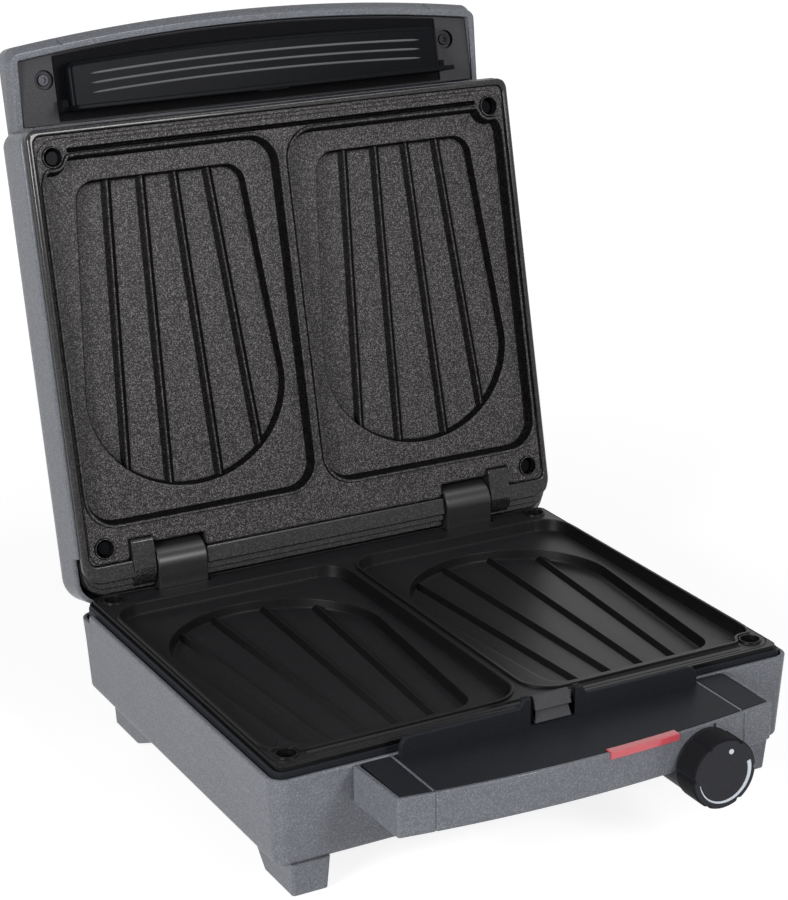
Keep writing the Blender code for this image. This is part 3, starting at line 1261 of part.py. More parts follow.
def make_lever(material, spring_material):
    lever = prism("latch_lever", LATCH, lever_outline(0.0, -LEVER_BACK), (LEVER_Z, LEVER_TOP_Z))
    cut(lever, prism("lever_inside", LATCH, lever_outline(LEVER_WALL, OVERRUN),
                     (LEVER_INSIDE_Z, LEVER_TOP_Z + OVERRUN)))
    back = -LIP_BAR_BACK
    bar = block("lip_bar", LATCH, (-LIP_BAR_HALF, LIP_BAR_HALF), (back - LIP_BAR_THICKNESS, back),
                (LIP_BAR_Z, LIP_BAR_TOP_Z))
    slot = block("lip_bar_slot", LATCH, (-SLOT_HALF, SLOT_HALF),
                 (back - LIP_BAR_THICKNESS - OVERRUN, back + OVERRUN),
                 (LIP_BAR_Z + SLOT_RISE, LIP_BAR_Z + SLOT_RISE + SLOT_HEIGHT))
    hook = block("latch_hook", LATCH, (-HOOK_HALF, HOOK_HALF),
                 (back - LIP_BAR_THICKNESS / 2, back + HOOK_REACH),
                 (LIP_BAR_Z + CLEARANCE, LIP_BAR_Z + CLEARANCE + HOOK_HEIGHT))
    join(lever, bar)
    cut(lever, slot)
    join(lever, hook)
    for number in range(RIB_COUNT):
        y = RIB_FRONT + number * RIB_PITCH
        half = LEVER_HALF - RIB_SIDE
        front = []
        for step in range(BOW_STEPS + 1):
            across = -half + 2 * half * step / BOW_STEPS
            front.append((across, bowed_front(LEVER_HALF, LEVER_REACH, LEVER_BOW, across) + y))
        strip = front + [(a, b + RIB_WIDTH) for a, b in reversed(front)]
        join(lever, prism(f"lever_rib_{number + 1}", LATCH, strip,
                          (LEVER_Z - RIB_PROUD, LEVER_Z + LEVER_SHEET / 2)))
    for sign, side in ((-1, "left"), (1, "right")):
        x = side_span(sign, LEVER_HALF - EAR_PLATE, LEVER_HALF)
        join(lever, block(f"lever_ear_{side}", LATCH, x, (PIVOT_Y - LUG_HALF, back),
                          (LEVER_INSIDE_Z - LEVER_SHEET / 2, PIVOT_Z + EAR_PLATE_RISE)))
        through = side_span(sign, LEVER_HALF - EAR_PLATE - OVERRUN, LEVER_HALF + OVERRUN)
        cut(lever, cylinder(f"lever_ear_bore_{side}", LATCH, "X", (PIVOT_Y, PIVOT_Z),
                            PIVOT_PIN_RADIUS + CLEARANCE, through, SCREW_STEPS))
    finish(lever, material)
    finish(tube("latch_spring", LATCH, spring_route(), SPRING_WIRE_RADIUS), spring_material)


def spring_route():
    """Torsion spring round the left pivot pin: an even helix along X."""
    points = []
    start = LEVER_HALF - EAR_PLATE - SPRING_GAP
    for step in range(SPRING_TURNS * SPRING_STEPS + 1):
        angle = 2 * math.pi * step / SPRING_STEPS
        x = -start + SPRING_PITCH * step / SPRING_STEPS
        y = PIVOT_Y + SPRING_COIL_RADIUS * math.cos(angle)
        z = PIVOT_Z + SPRING_COIL_RADIUS * math.sin(angle)
        points.append((x, y, z))
    return points


def centre_on_footprint():
    """Move the whole model so that its bounding box stands centred on the origin."""
    graph = bpy.context.evaluated_depsgraph_get()
    low = Vector((math.inf,) * 3)
    high = Vector((-math.inf,) * 3)
    for shape in PARTS.objects:
        seen = shape.evaluated_get(graph)
        mesh = seen.to_mesh()
        for vertex in mesh.vertices:
            place = seen.matrix_world @ vertex.co
            low = Vector(map(min, low, place))
            high = Vector(map(max, high, place))
        seen.to_mesh_clear()
    middle = (low + high) / 2
    BASE.empty.location = Vector((-middle.x, -middle.y, -low.z))
    bpy.context.view_layer.update()
    print("size", [round(value, 5) for value in high - low])
    for body in (BASE, KNOB, LID, LATCH):
        print(body.empty.name, [round(value, 6) for value in body.empty.matrix_world.translation])


def main():
    shell_grey = make_material("shell_grey", (0.18, 0.19, 0.21), 0.38, 0.6)
    black_plastic = make_material("black_plastic", (0.018, 0.019, 0.021), 0.45)
    satin_black = make_material("satin_black", (0.05, 0.05, 0.055), 0.5)
    non_stick = make_material("non_stick", (0.02, 0.02, 0.021), 0.35, 0.3)
    steel = make_material("steel", (0.55, 0.55, 0.56), 0.3, 1.0)
    sheet = make_material("sheet", (0.62, 0.63, 0.64), 0.35, 1.0)
    rubber = make_material("rubber", (0.02, 0.02, 0.02), 0.8)
    red_plastic = make_material("red_plastic", (0.67, 0.10, 0.11), 0.3)
    lamp_glass = make_material("lamp_glass", (0.8, 0.35, 0.2), 0.2)
    ceramic = make_material("ceramic", (0.75, 0.72, 0.66), 0.6)

    make_base_shell(shell_grey)
    make_bottom_cover(black_plastic, steel)
    make_feet(shell_grey, rubber)
    make_base_frame(black_plastic)
    make_plate("lower_plate", BASE, False, non_stick, steel)
    make_element("lower_heating_element", BASE, False, steel)
    make_tray("lower_reflector", BASE, False, sheet)
    make_hinge(black_plastic, steel)
    make_handle_shell(shell_grey)
    make_handle_cover(black_plastic)
    make_handle_ends(black_plastic)
    make_catch(satin_black)
    make_indicator(red_plastic, lamp_glass)
    face, shaft_end = make_thermostat(black_plastic, ceramic)
    make_knob(face, shaft_end, satin_black, steel)
    make_cable_entry(rubber, ceramic)
    make_lid_shell(shell_grey)
    make_lid_frame(black_plastic)
    make_plate("upper_plate", LID, True, non_stick, steel)
    make_element("upper_heating_element", LID, True, steel)
    make_tray("upper_reflector", LID, True, sheet)
    make_grip_panel(satin_black, steel, steel)
    make_lever(satin_black, steel)
    centre_on_footprint()


main()
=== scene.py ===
import math

import bpy
import numpy as np
from mathutils import Matrix, Vector
from mathutils.geometry import delaunay_2d_cdt


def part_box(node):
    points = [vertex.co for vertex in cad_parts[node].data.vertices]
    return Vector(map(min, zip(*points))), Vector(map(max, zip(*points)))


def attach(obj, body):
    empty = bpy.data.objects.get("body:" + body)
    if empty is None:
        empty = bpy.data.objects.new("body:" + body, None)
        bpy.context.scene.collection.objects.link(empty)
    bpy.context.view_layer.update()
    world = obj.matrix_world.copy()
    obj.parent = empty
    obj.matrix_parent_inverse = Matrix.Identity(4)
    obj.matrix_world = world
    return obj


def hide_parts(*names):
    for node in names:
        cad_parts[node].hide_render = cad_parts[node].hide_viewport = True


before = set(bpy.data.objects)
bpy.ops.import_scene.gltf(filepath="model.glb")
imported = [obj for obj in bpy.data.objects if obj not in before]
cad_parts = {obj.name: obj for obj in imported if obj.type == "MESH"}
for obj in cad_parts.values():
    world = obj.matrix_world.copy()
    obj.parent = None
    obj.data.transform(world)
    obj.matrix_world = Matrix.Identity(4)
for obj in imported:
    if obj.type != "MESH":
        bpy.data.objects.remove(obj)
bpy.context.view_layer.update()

# Everything is drawn closed, in metres: x across, y from the front rim to the back, z up from the table.
layout = {
    "halfWidth": 0.145,  # of the housing at its rim
    "depth": 0.2358,
    "floorZ": 0.0177,  # underside of the housing
    "rimZ": 0.0635,  # upper rim of the base
    "draft": 0.0032 / 0.0458,  # how far the walls lean inwards per height
    "hingeY": 0.2352,
    "hingeZ": 0.0794,
    "openAngle": math.radians(103.03),  # from closed to the open stop
    "mirrorZ": 0.1394,  # the upper plate is the lower one with z as mirrorZ - z
    "wall": 0.0023,
}
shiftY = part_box("base_shell")[0].y
sides = (("left", -1), ("right", 1))


# Outlines: flat loops of points, counterclockwise seen from above

def roundCorners(points, radii, steps=8):
    # each corner becomes an arc that touches both edges: its centre lies radius / sin(half angle) along the bisector
    points = np.asarray(points, float)
    runs = []
    for here, radius in enumerate(radii):
        corner = points[here]
        if radius <= 0:
            runs.append(corner[None])
            continue
        before = points[here - 1] - corner
        after = points[(here + 1) % len(points)] - corner
        before /= np.linalg.norm(before)
        after /= np.linalg.norm(after)
        half = math.acos(np.clip(before @ after, -1, 1)) / 2
        reach = radius / math.tan(half)
        middle = before + after
        centre = corner + middle / np.linalg.norm(middle) * radius / math.sin(half)
        start = corner + before * reach - centre
        end = corner + after * reach - centre
        first = math.atan2(start[1], start[0])
        sweep = (math.atan2(end[1], end[0]) - first + math.pi) % (2 * math.pi) - math.pi
        angles = first + sweep * np.linspace(0, 1, steps + 1)
        runs.append(centre + radius * np.stack([np.cos(angles), np.sin(angles)], 1))
    return np.vstack(runs)


def rectangle(x, y, corner, steps=8):
    # x and y are (low, high)
    return roundCorners([(x[0], y[0]), (x[1], y[0]), (x[1], y[1]), (x[0], y[1])], [corner] * 4, steps)


def roundTriples(corners, steps):
    # corners given as (x, y, radius)
    corners = np.array(corners)
    return roundCorners(corners[:, :2], corners[:, 2], steps)


def circle(centre, radius, steps=48):
    # centre + radius (cos, sin)
    angles = np.linspace(0, 2 * math.pi, steps, endpoint=False)
    return np.asarray(centre) + radius * np.stack([np.cos(angles), np.sin(angles)], 1)


def shrink(outline, inset):
    # every point moves inwards by inset / cos(half turn) along the mean of its two edge normals; one inset or one each
    ahead = np.roll(outline, -1, 0) - outline
    ahead /= np.linalg.norm(ahead, axis=1)[:, None]
    normal = np.stack([-ahead[:, 1], ahead[:, 0]], 1)
    last = np.roll(normal, 1, 0)
    both = normal + last
    scale = np.maximum(1 + (normal * last).sum(1), 0.3)
    return outline + np.reshape(inset, (-1, 1)) * both / scale[:, None]


def bowLine(x, half, reach, bow):
    # front edge that bows out: y = -(reach + bow (1 - (x / half)^2))
    return -(reach + bow * (1 - (x / half) ** 2))


def spanX(sign, near, far):
    # (low, high) of a stretch from near to far on the left or the right
    return sorted((sign * near, sign * far))


def seamStations(half, count, piece):
    # even stations from -half to half, and five close ones at both seams
    near = np.array([-1, -0.5, 0, 0.5, 1]) * piece["seamWidth"]
    even = np.linspace(-half, half, count)
    return np.unique(np.round(np.concatenate([even, near - piece["seamX"], near + piece["seamX"]]), 6))


def seamGroove(x, piece):
    # share of a groove's depth: 1 on the seam, 0 from a seam's width beside it
    return np.clip(1 - np.abs(np.abs(x) - piece["seamX"]) / piece["seamWidth"], 0, 1)


def sunk(outline, profile):
    # rings of an outline for (inset, fall) pairs
    return [(shrink(outline, inset), fall) for inset, fall in profile]


def polarMatch(outline, centre, angles):
    # the outline's points at the given angles round a centre, read off a dense copy of it
    nextPoint = np.roll(outline, -1, 0)
    share = np.linspace(0, 1, 40, endpoint=False)[None, :, None]
    dense = (outline[:, None] * (1 - share) + nextPoint[:, None] * share).reshape(-1, 2) - centre
    turn = np.arctan2(dense[:, 1], dense[:, 0])
    order = np.argsort(turn)
    turn, reach = turn[order], np.linalg.norm(dense, axis=1)[order]
    radius = np.interp(angles, turn, reach, period=2 * math.pi)
    return centre + radius[:, None] * np.stack([np.cos(angles), np.sin(angles)], 1)


# Bodies: lists of (points, faces), each closed

def lift(outline, height, axis="z"):
    # flat loop to space: its two coordinates are (x, y), (y, z) or (x, z) for the axes z, x or y
    column = np.broadcast_to(np.asarray(height, float), len(outline))
    order = {"z": (0, 1, 2), "x": (2, 0, 1), "y": (0, 2, 1)}[axis]
    stacked = np.column_stack([outline[:, 0], outline[:, 1], column])
    return stacked[:, order]


def skin(rings, caps=(True, True), wrap=False):
    # rings of equal length joined in turn by quads; caps close the ends, wrap joins the last ring to the first
    rings = np.asarray(rings)
    count, size = rings.shape[:2]
    row = np.arange(count if wrap else count - 1)[:, None]
    col = np.arange(size)[None, :]
    nextRow, nextCol = (row + 1) % count, (col + 1) % size
    quads = [row * size + col, row * size + nextCol, nextRow * size + nextCol, nextRow * size + col]
    faces = np.stack(np.broadcast_arrays(*quads), -1).reshape(-1, 4).tolist()
    if caps[0] and not wrap:
        faces.append(list(range(size))[::-1])
    if caps[1] and not wrap:
        faces.append(list(range((count - 1) * size, count * size)))
    return rings.reshape(-1, 3), faces


def rounding(radius, steps=4):
    # quarter circle as (inset, fall) pairs from the flat face to the wall
    turn = np.linspace(0, math.pi / 2, steps + 1)
    return [(radius * (1 - math.sin(t)), radius * (1 - math.cos(t))) for t in turn]


def counterclockwise(outline):
    # the shoelace sum over the edges gives the sign of the area
    ahead = np.roll(outline, -1, 0)
    area = (outline[:, 0] * ahead[:, 1] - outline[:, 1] * ahead[:, 0]).sum()
    return outline if area > 0 else outline[::-1]


def slab(outline, low, high, edge, axis="z", lowEdge=None, steps=4):
    # an outline run along an axis, with a quarter circle of the edge radius at both faces
    outline = counterclockwise(outline)
    lowEdge = edge if lowEdge is None else lowEdge
    rings = [lift(shrink(outline, inset), low + fall, axis) for inset, fall in rounding(lowEdge, steps)]
    rings += [lift(shrink(outline, inset), high - fall, axis) for inset, fall in rounding(edge, steps)[::-1]]
    return skin(rings)


def inside(points, loop):
    # even-odd test: count the loop's edges that a ray towards +x crosses
    a, b = loop, np.roll(loop, -1, 0)
    x, y = points[:, :1], points[:, 1:]
    spans = (a[:, 1] > y) != (b[:, 1] > y)
    rise = np.where(b[:, 1] == a[:, 1], 1e-12, b[:, 1] - a[:, 1])
    crossing = x < (b[:, 0] - a[:, 0]) * (y - a[:, 1]) / rise + a[:, 0]
    return (spans & crossing).sum(1) % 2 == 1


def fillFlat(outline, holes):
    # triangles of the flat field between an outline and the holes in it
    loops = [outline, *holes]
    points = np.vstack(loops)
    edges, start = [], 0
    for loop in loops:
        edges += [(start + k, start + (k + 1) % len(loop)) for k in range(len(loop))]
        start += len(loop)
    made = delaunay_2d_cdt([Vector(p) for p in points], edges, [], 1, 1e-9)
    triangles = np.array(made[2])
    source = np.array([ids[0] for ids in made[3]])
    triangles = source[triangles]
    centres = points[triangles].mean(1)
    keep = inside(centres, outline)
    for hole in holes:
        keep &= ~inside(centres, hole)
    return triangles[keep].tolist()


def joined(parts):
    # one closed body from pieces that share their border points
    points, faces, start = [], [], 0
    for partPoints, partFaces in parts:
        points.append(partPoints)
        faces += [[start + corner for corner in face] for face in partFaces]
        start += len(partPoints)
    points = np.round(np.vstack(points), 8)
    shared, index = np.unique(points, axis=0, return_inverse=True)
    index = index.ravel()
    return shared, [index[face].tolist() for face in faces]


def fieldBody(border, stacks, height):
    # a flat field with a border of (loop, fall) rings round it and stacks of such rings that sink into it
    rings = [lift(loop, height - fall) for loop, fall in border]
    field = border[0][0]
    holes = [stack[0][0] for stack in stacks]
    wallPoints, wallFaces = skin(rings, (False, True))
    parts = [(wallPoints, [face[::-1] for face in wallFaces])]
    for stack in stacks:
        layers = [lift(loop, height - fall) for loop, fall in stack]
        parts.append(skin(layers, (False, True)))
    flat = np.vstack([field, *holes])
    parts.append((lift(flat, height), fillFlat(field, holes)))
    return joined(parts)


def pierced(outline, holes, low, high, edge, axis="z"):
    # an outline with holes, run along an axis, rounded round its outside and at the holes' lower rims
    around = [lift(shrink(outline, inset), low + fall, axis) for inset, fall in rounding(edge, 3)]
    around += [lift(shrink(outline, inset), high - fall, axis) for inset, fall in rounding(edge, 3)[::-1]]
    field = shrink(outline, edge)
    near = [shrink(hole, -edge / 2) for hole in holes]
    parts = [skin(around, (False, False))]
    for mouth, hole in zip(near, holes):
        points, faces = skin([lift(mouth, low, axis), lift(hole, low + edge / 2, axis), lift(hole, high, axis)],
                             (False, False))
        parts.append((points, [face[::-1] for face in faces]))
    lower = fillFlat(field, near)
    parts.append((lift(np.vstack([field, *near]), low, axis), [face[::-1] for face in lower]))
    parts.append((lift(np.vstack([field, *holes]), high, axis), fillFlat(field, holes)))
    return joined(parts)


def turnedBody(profile, centre, axis, steps=64, wave=None):
    # (radius, height) pairs carried round an axis; wave(angle) scales the radius
    angles = np.linspace(0, 2 * math.pi, steps, endpoint=False)
    shape = np.ones(steps) if wave is None else wave(angles)
    loops = []
    for radius, height in profile:
        loop = radius * shape[:, None] * np.stack([np.cos(angles), np.sin(angles)], 1)
        loops.append(lift(loop, height, axis))
    points, faces = skin(loops)
    return points + np.asarray(centre), faces


def carried(profile, start, end, across, up):
    # a closed profile of (side, height) pairs carried from start to end, three stations long
    start, end = np.asarray(start, float), np.asarray(end, float)
    profile = np.asarray(profile)
    stations = np.linspace(0, 1, 3)[:, None, None]
    offset = profile[:, :1] * np.asarray(across) + profile[:, 1:] * np.asarray(up)
    return skin(start + (end - start) * stations + offset)


def toRest(points, body):
    # lid and latch turn back by the open angle round the hinge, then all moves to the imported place
    points = np.array(points, float)
    if body in ("lid", "latch"):
        y = points[:, 1] - layout["hingeY"]
        z = points[:, 2] - layout["hingeZ"]
        c, s = math.cos(layout["openAngle"]), -math.sin(layout["openAngle"])
        points[:, 1] = layout["hingeY"] + y * c - z * s
        points[:, 2] = layout["hingeZ"] + y * s + z * c
    points[:, 1] += shiftY
    return points


shading = {"sharpAngle": 32, "weight": 80}


def makePiece(name, parts, material, body, replaced=()):
    # closed parts at rest; where the volume, a sum of a . (b x c) over the triangles, is negative, faces are turned
    points, faces = [], []
    for partPoints, partFaces in parts:
        partPoints = toRest(partPoints, body)
        fan = [(face[0], face[k], face[k + 1]) for face in partFaces for k in range(1, len(face) - 1)]
        corner = partPoints[np.array(fan)]
        volume = np.einsum("ij,ij->i", corner[:, 0], np.cross(corner[:, 1], corner[:, 2])).sum()
        start = sum(len(p) for p in points)
        step = 1 if volume > 0 else -1
        faces += [[start + index for index in face[::step]] for face in partFaces]
        points.append(partPoints)
    mesh = bpy.data.meshes.new(name)
    mesh.from_pydata(np.vstack(points).tolist(), [], faces)
    mesh.materials.append(material)
    piece = bpy.data.objects.new(name, mesh)
    bpy.context.scene.collection.objects.link(piece)
    mesh.shade_smooth()
    mesh.set_sharp_from_angle(angle=math.radians(shading["sharpAngle"]))
    even = piece.modifiers.new("evenShading", "WEIGHTED_NORMAL")
    even.keep_sharp = True
    even.weight = shading["weight"]
    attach(piece, body)
    if replaced:
        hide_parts(*replaced)
    return piece


def markShadedWalls(piece, axis):
    # how far each face turns away from the axis: 1 - |cos|, kept as the mask for the painted shade on steep faces
    mesh = piece.data
    normals = np.empty(len(mesh.polygons) * 3)
    mesh.polygons.foreach_get("normal", normals)
    away = 1 - np.abs(normals.reshape(-1, 3) @ np.asarray(axis))
    mesh.attributes.new("wall", "FLOAT", "FACE").data.foreach_set("value", away.astype(np.float32))


# Materials

def addNode(tree, kind, values=None, **settings):
    # a node with its settings first, then the constants on its sockets
    node = tree.nodes.new(kind)
    for key, setting in settings.items():
        setattr(node, key, setting)
    for socket, value in (values or {}).items():
        node.inputs[socket].default_value = value
    return node


def connect(tree, *wires):
    # each wire is (node, output, node, input)
    for source, output, target, socket in wires:
        tree.links.new(source.outputs[output], target.inputs[socket])


def makeSpeckleGroup():
    # random cells above a threshold make a mask of bright grains; a fine noise makes a height, a slow one a cloud
    group = bpy.data.node_groups.new("speckle", "ShaderNodeTree")
    group.interface.new_socket("Vector", in_out="INPUT", socket_type="NodeSocketVector")
    for socket in ("Cells", "Threshold", "Grain"):
        group.interface.new_socket(socket, in_out="INPUT", socket_type="NodeSocketFloat")
    for socket in ("Specks", "Height", "Cloud"):
        group.interface.new_socket(socket, in_out="OUTPUT", socket_type="NodeSocketFloat")
    given, result = addNode(group, "NodeGroupInput"), addNode(group, "NodeGroupOutput")
    cells, split = addNode(group, "ShaderNodeTexVoronoi"), addNode(group, "ShaderNodeSeparateColor")
    spread = addNode(group, "ShaderNodeMapRange", {"From Max": 1.0, "To Min": 0.0, "To Max": 1.0})
    fine = addNode(group, "ShaderNodeTexNoise", {"Detail": 3.0})
    cloud = addNode(group, "ShaderNodeTexNoise", {"Scale": 22.0, "Detail": 2.0})
    connect(group,
            (given, "Vector", cells, "Vector"), (given, "Cells", cells, "Scale"), (cells, "Color", split, "Color"),
            (split, "Red", spread, "Value"), (given, "Threshold", spread, "From Min"),
            (spread, "Result", result, "Specks"),
            (given, "Vector", fine, "Vector"), (given, "Grain", fine, "Scale"), (fine, "Fac", result, "Height"),
            (given, "Vector", cloud, "Vector"), (cloud, "Fac", result, "Cloud"))
    return group


speckle = makeSpeckleGroup()
plainLook = {"cells": 2500, "threshold": 0.9, "speckStrength": 0.03, "speckColor": (0.6, 0.6, 0.6), "grain": 1600,
             "bump": 0.08, "bumpDepth": 0.0001, "metal": 0.0, "specular": 0.5, "coat": 0.0, "coatRough": 0.1,
             "cloud": 0.1, "roughSpread": 0.03}


def makeFinish(name, look):
    # base colour with bright grains and a slow cloudiness, roughness that follows the cloud, and a fine bump
    look = {**plainLook, **look}
    material = bpy.data.materials.new(name)
    material.use_nodes = True
    tree = material.node_tree
    shader = tree.nodes["Principled BSDF"]
    place = addNode(tree, "ShaderNodeTexCoord")
    grains = addNode(tree, "ShaderNodeGroup", {"Cells": look["cells"], "Threshold": look["threshold"],
                                               "Grain": look["grain"]}, node_tree=speckle)
    dark = (*[c * (1 - look["cloud"]) for c in look["color"]], 1)
    pale = (*[c * (1 + look["cloud"]) for c in look["color"]], 1)
    tone = addNode(tree, "ShaderNodeMix", {"A": dark, "B": pale}, data_type="RGBA")
    strength = addNode(tree, "ShaderNodeMath", {1: look["speckStrength"]}, operation="MULTIPLY")
    shown = addNode(tree, "ShaderNodeMix", {"B": (*look["speckColor"], 1)}, data_type="RGBA")
    rough = addNode(tree, "ShaderNodeMapRange", {"To Min": look["rough"] - look["roughSpread"],
                                                 "To Max": look["rough"] + look["roughSpread"]})
    bump = addNode(tree, "ShaderNodeBump", {"Strength": look["bump"], "Distance": look["bumpDepth"]})
    connect(tree,
            (place, "Object", grains, "Vector"), (grains, "Cloud", tone, "Factor"),
            (grains, "Specks", strength, 0), (tone, "Result", shown, "A"), (strength, "Value", shown, "Factor"),
            (shown, "Result", shader, "Base Color"),
            (grains, "Cloud", rough, "Value"), (rough, "Result", shader, "Roughness"),
            (grains, "Height", bump, "Height"), (bump, "Normal", shader, "Normal"))
    if "paintedWallShade" in look:
        # painted shade: steep faces are drawn darker and less glossy, by the finish's shade share times the wall share
        wall = addNode(tree, "ShaderNodeAttribute", attribute_name="wall")
        rest = addNode(tree, "ShaderNodeMapRange", {"From Min": 0.02, "From Max": 0.20, "To Min": 1.0,
                                                    "To Max": 1 - look["paintedWallShade"]})
        shadedColor = addNode(tree, "ShaderNodeMix", {"A": (0, 0, 0, 1)}, data_type="RGBA")
        gloss = addNode(tree, "ShaderNodeMath", {1: look["specular"]}, operation="MULTIPLY")
        connect(tree,
                (wall, "Fac", rest, "Value"), (rest, "Result", shadedColor, "Factor"), (shown, "Result", shadedColor, "B"),
                (shadedColor, "Result", shader, "Base Color"), (rest, "Result", gloss, 0),
                (gloss, "Value", shader, "Specular IOR Level"))
    for socket, key in (("Metallic", "metal"), ("Specular IOR Level", "specular"), ("Coat Weight", "coat"),
                        ("Coat Roughness", "coatRough")):
        shader.inputs[socket].default_value = look[key]
    return material


# a finish with a wall shade value gets painted shade on its steep faces: gripBlack, knobBlack, upperCoating,
# lowerCoating
finishes = {
    "anthraciteFlake": {"color": (0.145, 0.152, 0.171), "rough": 0.27, "cells": 2400, "threshold": 0.45,
                        "speckStrength": 0.22, "speckColor": (0.62, 0.64, 0.68), "grain": 2000, "bump": 0.22,
                        "metal": 0.06, "specular": 0.02, "coat": 0.18},
    "mouldedBlack": {"color": (0.0185, 0.0195, 0.024), "rough": 0.42, "cells": 1900, "speckStrength": 0.02,
                     "bump": 0.12, "specular": 0.05},
    "hingeBlack": {"color": (0.019, 0.0185, 0.018), "rough": 0.32, "cells": 1900, "speckStrength": 0.02,
                   "bump": 0.12, "specular": 0.35},
    "gripBlack": {"color": (0.046, 0.046, 0.051), "rough": 0.46, "cells": 2300, "threshold": 0.5, "grain": 1900,
                  "bump": 0.25, "specular": 0.14, "paintedWallShade": 0.9},
    "knobBlack": {"color": (0.037, 0.0375, 0.043), "rough": 0.48, "cells": 2300, "threshold": 0.8,
                  "speckStrength": 0.02, "grain": 1900, "bump": 0.2, "specular": 0.03, "paintedWallShade": 0.6},
    "leverBlack": {"color": (0.0035, 0.004, 0.0055), "rough": 0.3, "cells": 1900, "speckStrength": 0.01,
                   "specular": 0.04},
    # painted shade: near-black for the shaded well under the lever and its lugs
    "wellShadeBlack": {"color": (0.006, 0.0062, 0.0072), "rough": 0.5, "speckStrength": 0.02, "grain": 1900, "bump": 0.25,
                  "specular": 0.03},
    # painted highlight: light grey for the light on the lever ribs' crests
    "ribHighlightGrey": {"color": (0.13, 0.132, 0.14), "rough": 0.4, "specular": 0.2},
    "upperCoating": {"color": (0.0215, 0.0198, 0.0202), "rough": 0.37, "threshold": 0.6, "speckStrength": 0.4,
                     "speckColor": (0.5, 0.47, 0.48), "grain": 2100, "bump": 0.6, "bumpDepth": 0.00014,
                     "specular": 0.13, "paintedWallShade": 0.88},
    "frameCoating": {"color": (0.01, 0.0092, 0.0096), "rough": 0.28, "cells": 2000, "threshold": 0.6,
                     "speckStrength": 0.1, "speckColor": (0.5, 0.47, 0.48), "grain": 2100, "bump": 0.4,
                     "bumpDepth": 0.00012, "specular": 0.05, "coat": 0.6, "coatRough": 0.12},
    "lowerCoating": {"color": (0.011, 0.011, 0.0125), "rough": 0.36, "cells": 2200, "threshold": 0.4,
                     "speckStrength": 0.05, "speckColor": (0.25, 0.25, 0.25), "grain": 2000, "bump": 0.35,
                     "specular": 0.22, "paintedWallShade": 0.6},
    "darkSteel": {"color": (0.018, 0.018, 0.019), "rough": 0.36, "threshold": 0.7, "speckStrength": 0.0,
                  "grain": 2200, "metal": 0.2, "specular": 0.35},
    "screwSteel": {"color": (0.018, 0.018, 0.021), "rough": 0.3, "threshold": 0.95, "speckStrength": 0.02,
                   "grain": 2300, "bump": 0.1, "metal": 1.0},
    "brightSteel": {"color": (0.52, 0.52, 0.53), "rough": 0.28, "threshold": 0.95, "speckStrength": 0.05,
                    "grain": 2500, "bump": 0.06, "metal": 1.0},
    "reflectorSheet": {"color": (0.6, 0.61, 0.62), "rough": 0.33, "threshold": 0.95, "speckStrength": 0.05,
                       "grain": 900, "metal": 1.0},
    "softRubber": {"color": (0.018, 0.018, 0.018), "rough": 0.78, "grain": 1800, "bump": 0.25},
    "coralBar": {"color": (0.6, 0.085, 0.105), "rough": 0.2, "threshold": 0.95, "speckStrength": 0.04, "grain": 900,
                 "bump": 0.03, "coat": 0.5, "cloud": 0.05},
    "markPaint": {"color": (0.62, 0.66, 0.72), "rough": 0.45, "threshold": 0.95, "grain": 1500, "bump": 0.05,
                  "cloud": 0.04},
    "lampAmber": {"color": (0.75, 0.3, 0.16), "rough": 0.2, "threshold": 0.95, "grain": 900, "bump": 0.02},
    "fireclay": {"color": (0.72, 0.69, 0.63), "rough": 0.6, "speckStrength": 0.05, "grain": 1500, "bump": 0.15},
}
finish = {name: makeFinish(name, look) for name, look in finishes.items()}
print("finishes ready")


# Base housing

tub = {"corner": 0.0085, "underEdge": 0.003, "rimEdge": 0.0011, "innerEdge": 0.0005, "wallStart": 0.006,
       "innerStart": 0.004, "rearDrop": 0.0045, "dropStart": 0.2192, "dropLength": 0.0014, "dropReach": 0.016}


def tubOutline():
    # rounded rectangle with close points on both sides where the rim will drop
    side = [tub["dropStart"] + tub["dropLength"] * k for k in (0, 0.25, 0.5, 0.75, 1)]
    half, depth = layout["halfWidth"], layout["depth"]
    points = [(-half, 0), (half, 0)] + [(half, y) for y in side] + [(half, depth), (-half, depth)]
    points += [(-half, y) for y in side[::-1]]
    radii = [tub["corner"], tub["corner"]] + [0] * 5 + [tub["corner"]] * 2 + [0] * 5
    return roundCorners(points, radii, 12)


def dropRim(ring):
    # the rim falls by a smooth step towards the back; the fall fades out down the wall
    share = np.clip((ring[:, 1] - tub["dropStart"]) / tub["dropLength"], 0, 1)
    step = share * share * (3 - 2 * share)
    fade = np.clip(1 - (layout["rimZ"] - ring[:, 2]) / tub["dropReach"], 0, 1)
    ring[:, 2] -= tub["rearDrop"] * step * fade
    return ring


def baseShell():
    # underside, outer wall, rim, inner wall and floor as rings; the walls move in by draft * (rimZ - height)
    rim, floor, wall = layout["rimZ"], layout["floorZ"], layout["wall"]
    outline = tubOutline()
    loops = []
    for inset, rise in rounding(tub["underEdge"], 5):
        height = floor + rise
        loops.append((inset + layout["draft"] * (rim - height), height))
    for height in np.linspace(floor + tub["wallStart"], rim - tub["rimEdge"], 8):
        loops.append((layout["draft"] * (rim - height), height))
    loops += [(inset, rim - fall) for inset, fall in rounding(tub["rimEdge"], 4)[::-1][1:]]
    loops += [(wall - inset, rim - fall) for inset, fall in rounding(tub["innerEdge"], 3)]
    for height in np.linspace(rim - tub["innerStart"], floor + wall, 4):
        loops.append((wall + layout["draft"] * (rim - height), height))
    rings = [dropRim(lift(shrink(outline, inset), height)) for inset, height in loops]
    return skin(rings)


makePiece("baseShellSkin", [baseShell()], finish["anthraciteFlake"], "base", ["base_shell"])

feet = {"inner": 0.1156, "outer": 0.1341, "flare": 0.0008, "corner": 0.0016, "lowZ": 0.001, "edge": 0.0005,
        "levels": (0.35, 0.7, 1.02),
        "front": ((0.0044, 0.0348), (0.0028, 0.0490)), "rear": ((0.1861, 0.2165), (0.1496, 0.2173))}


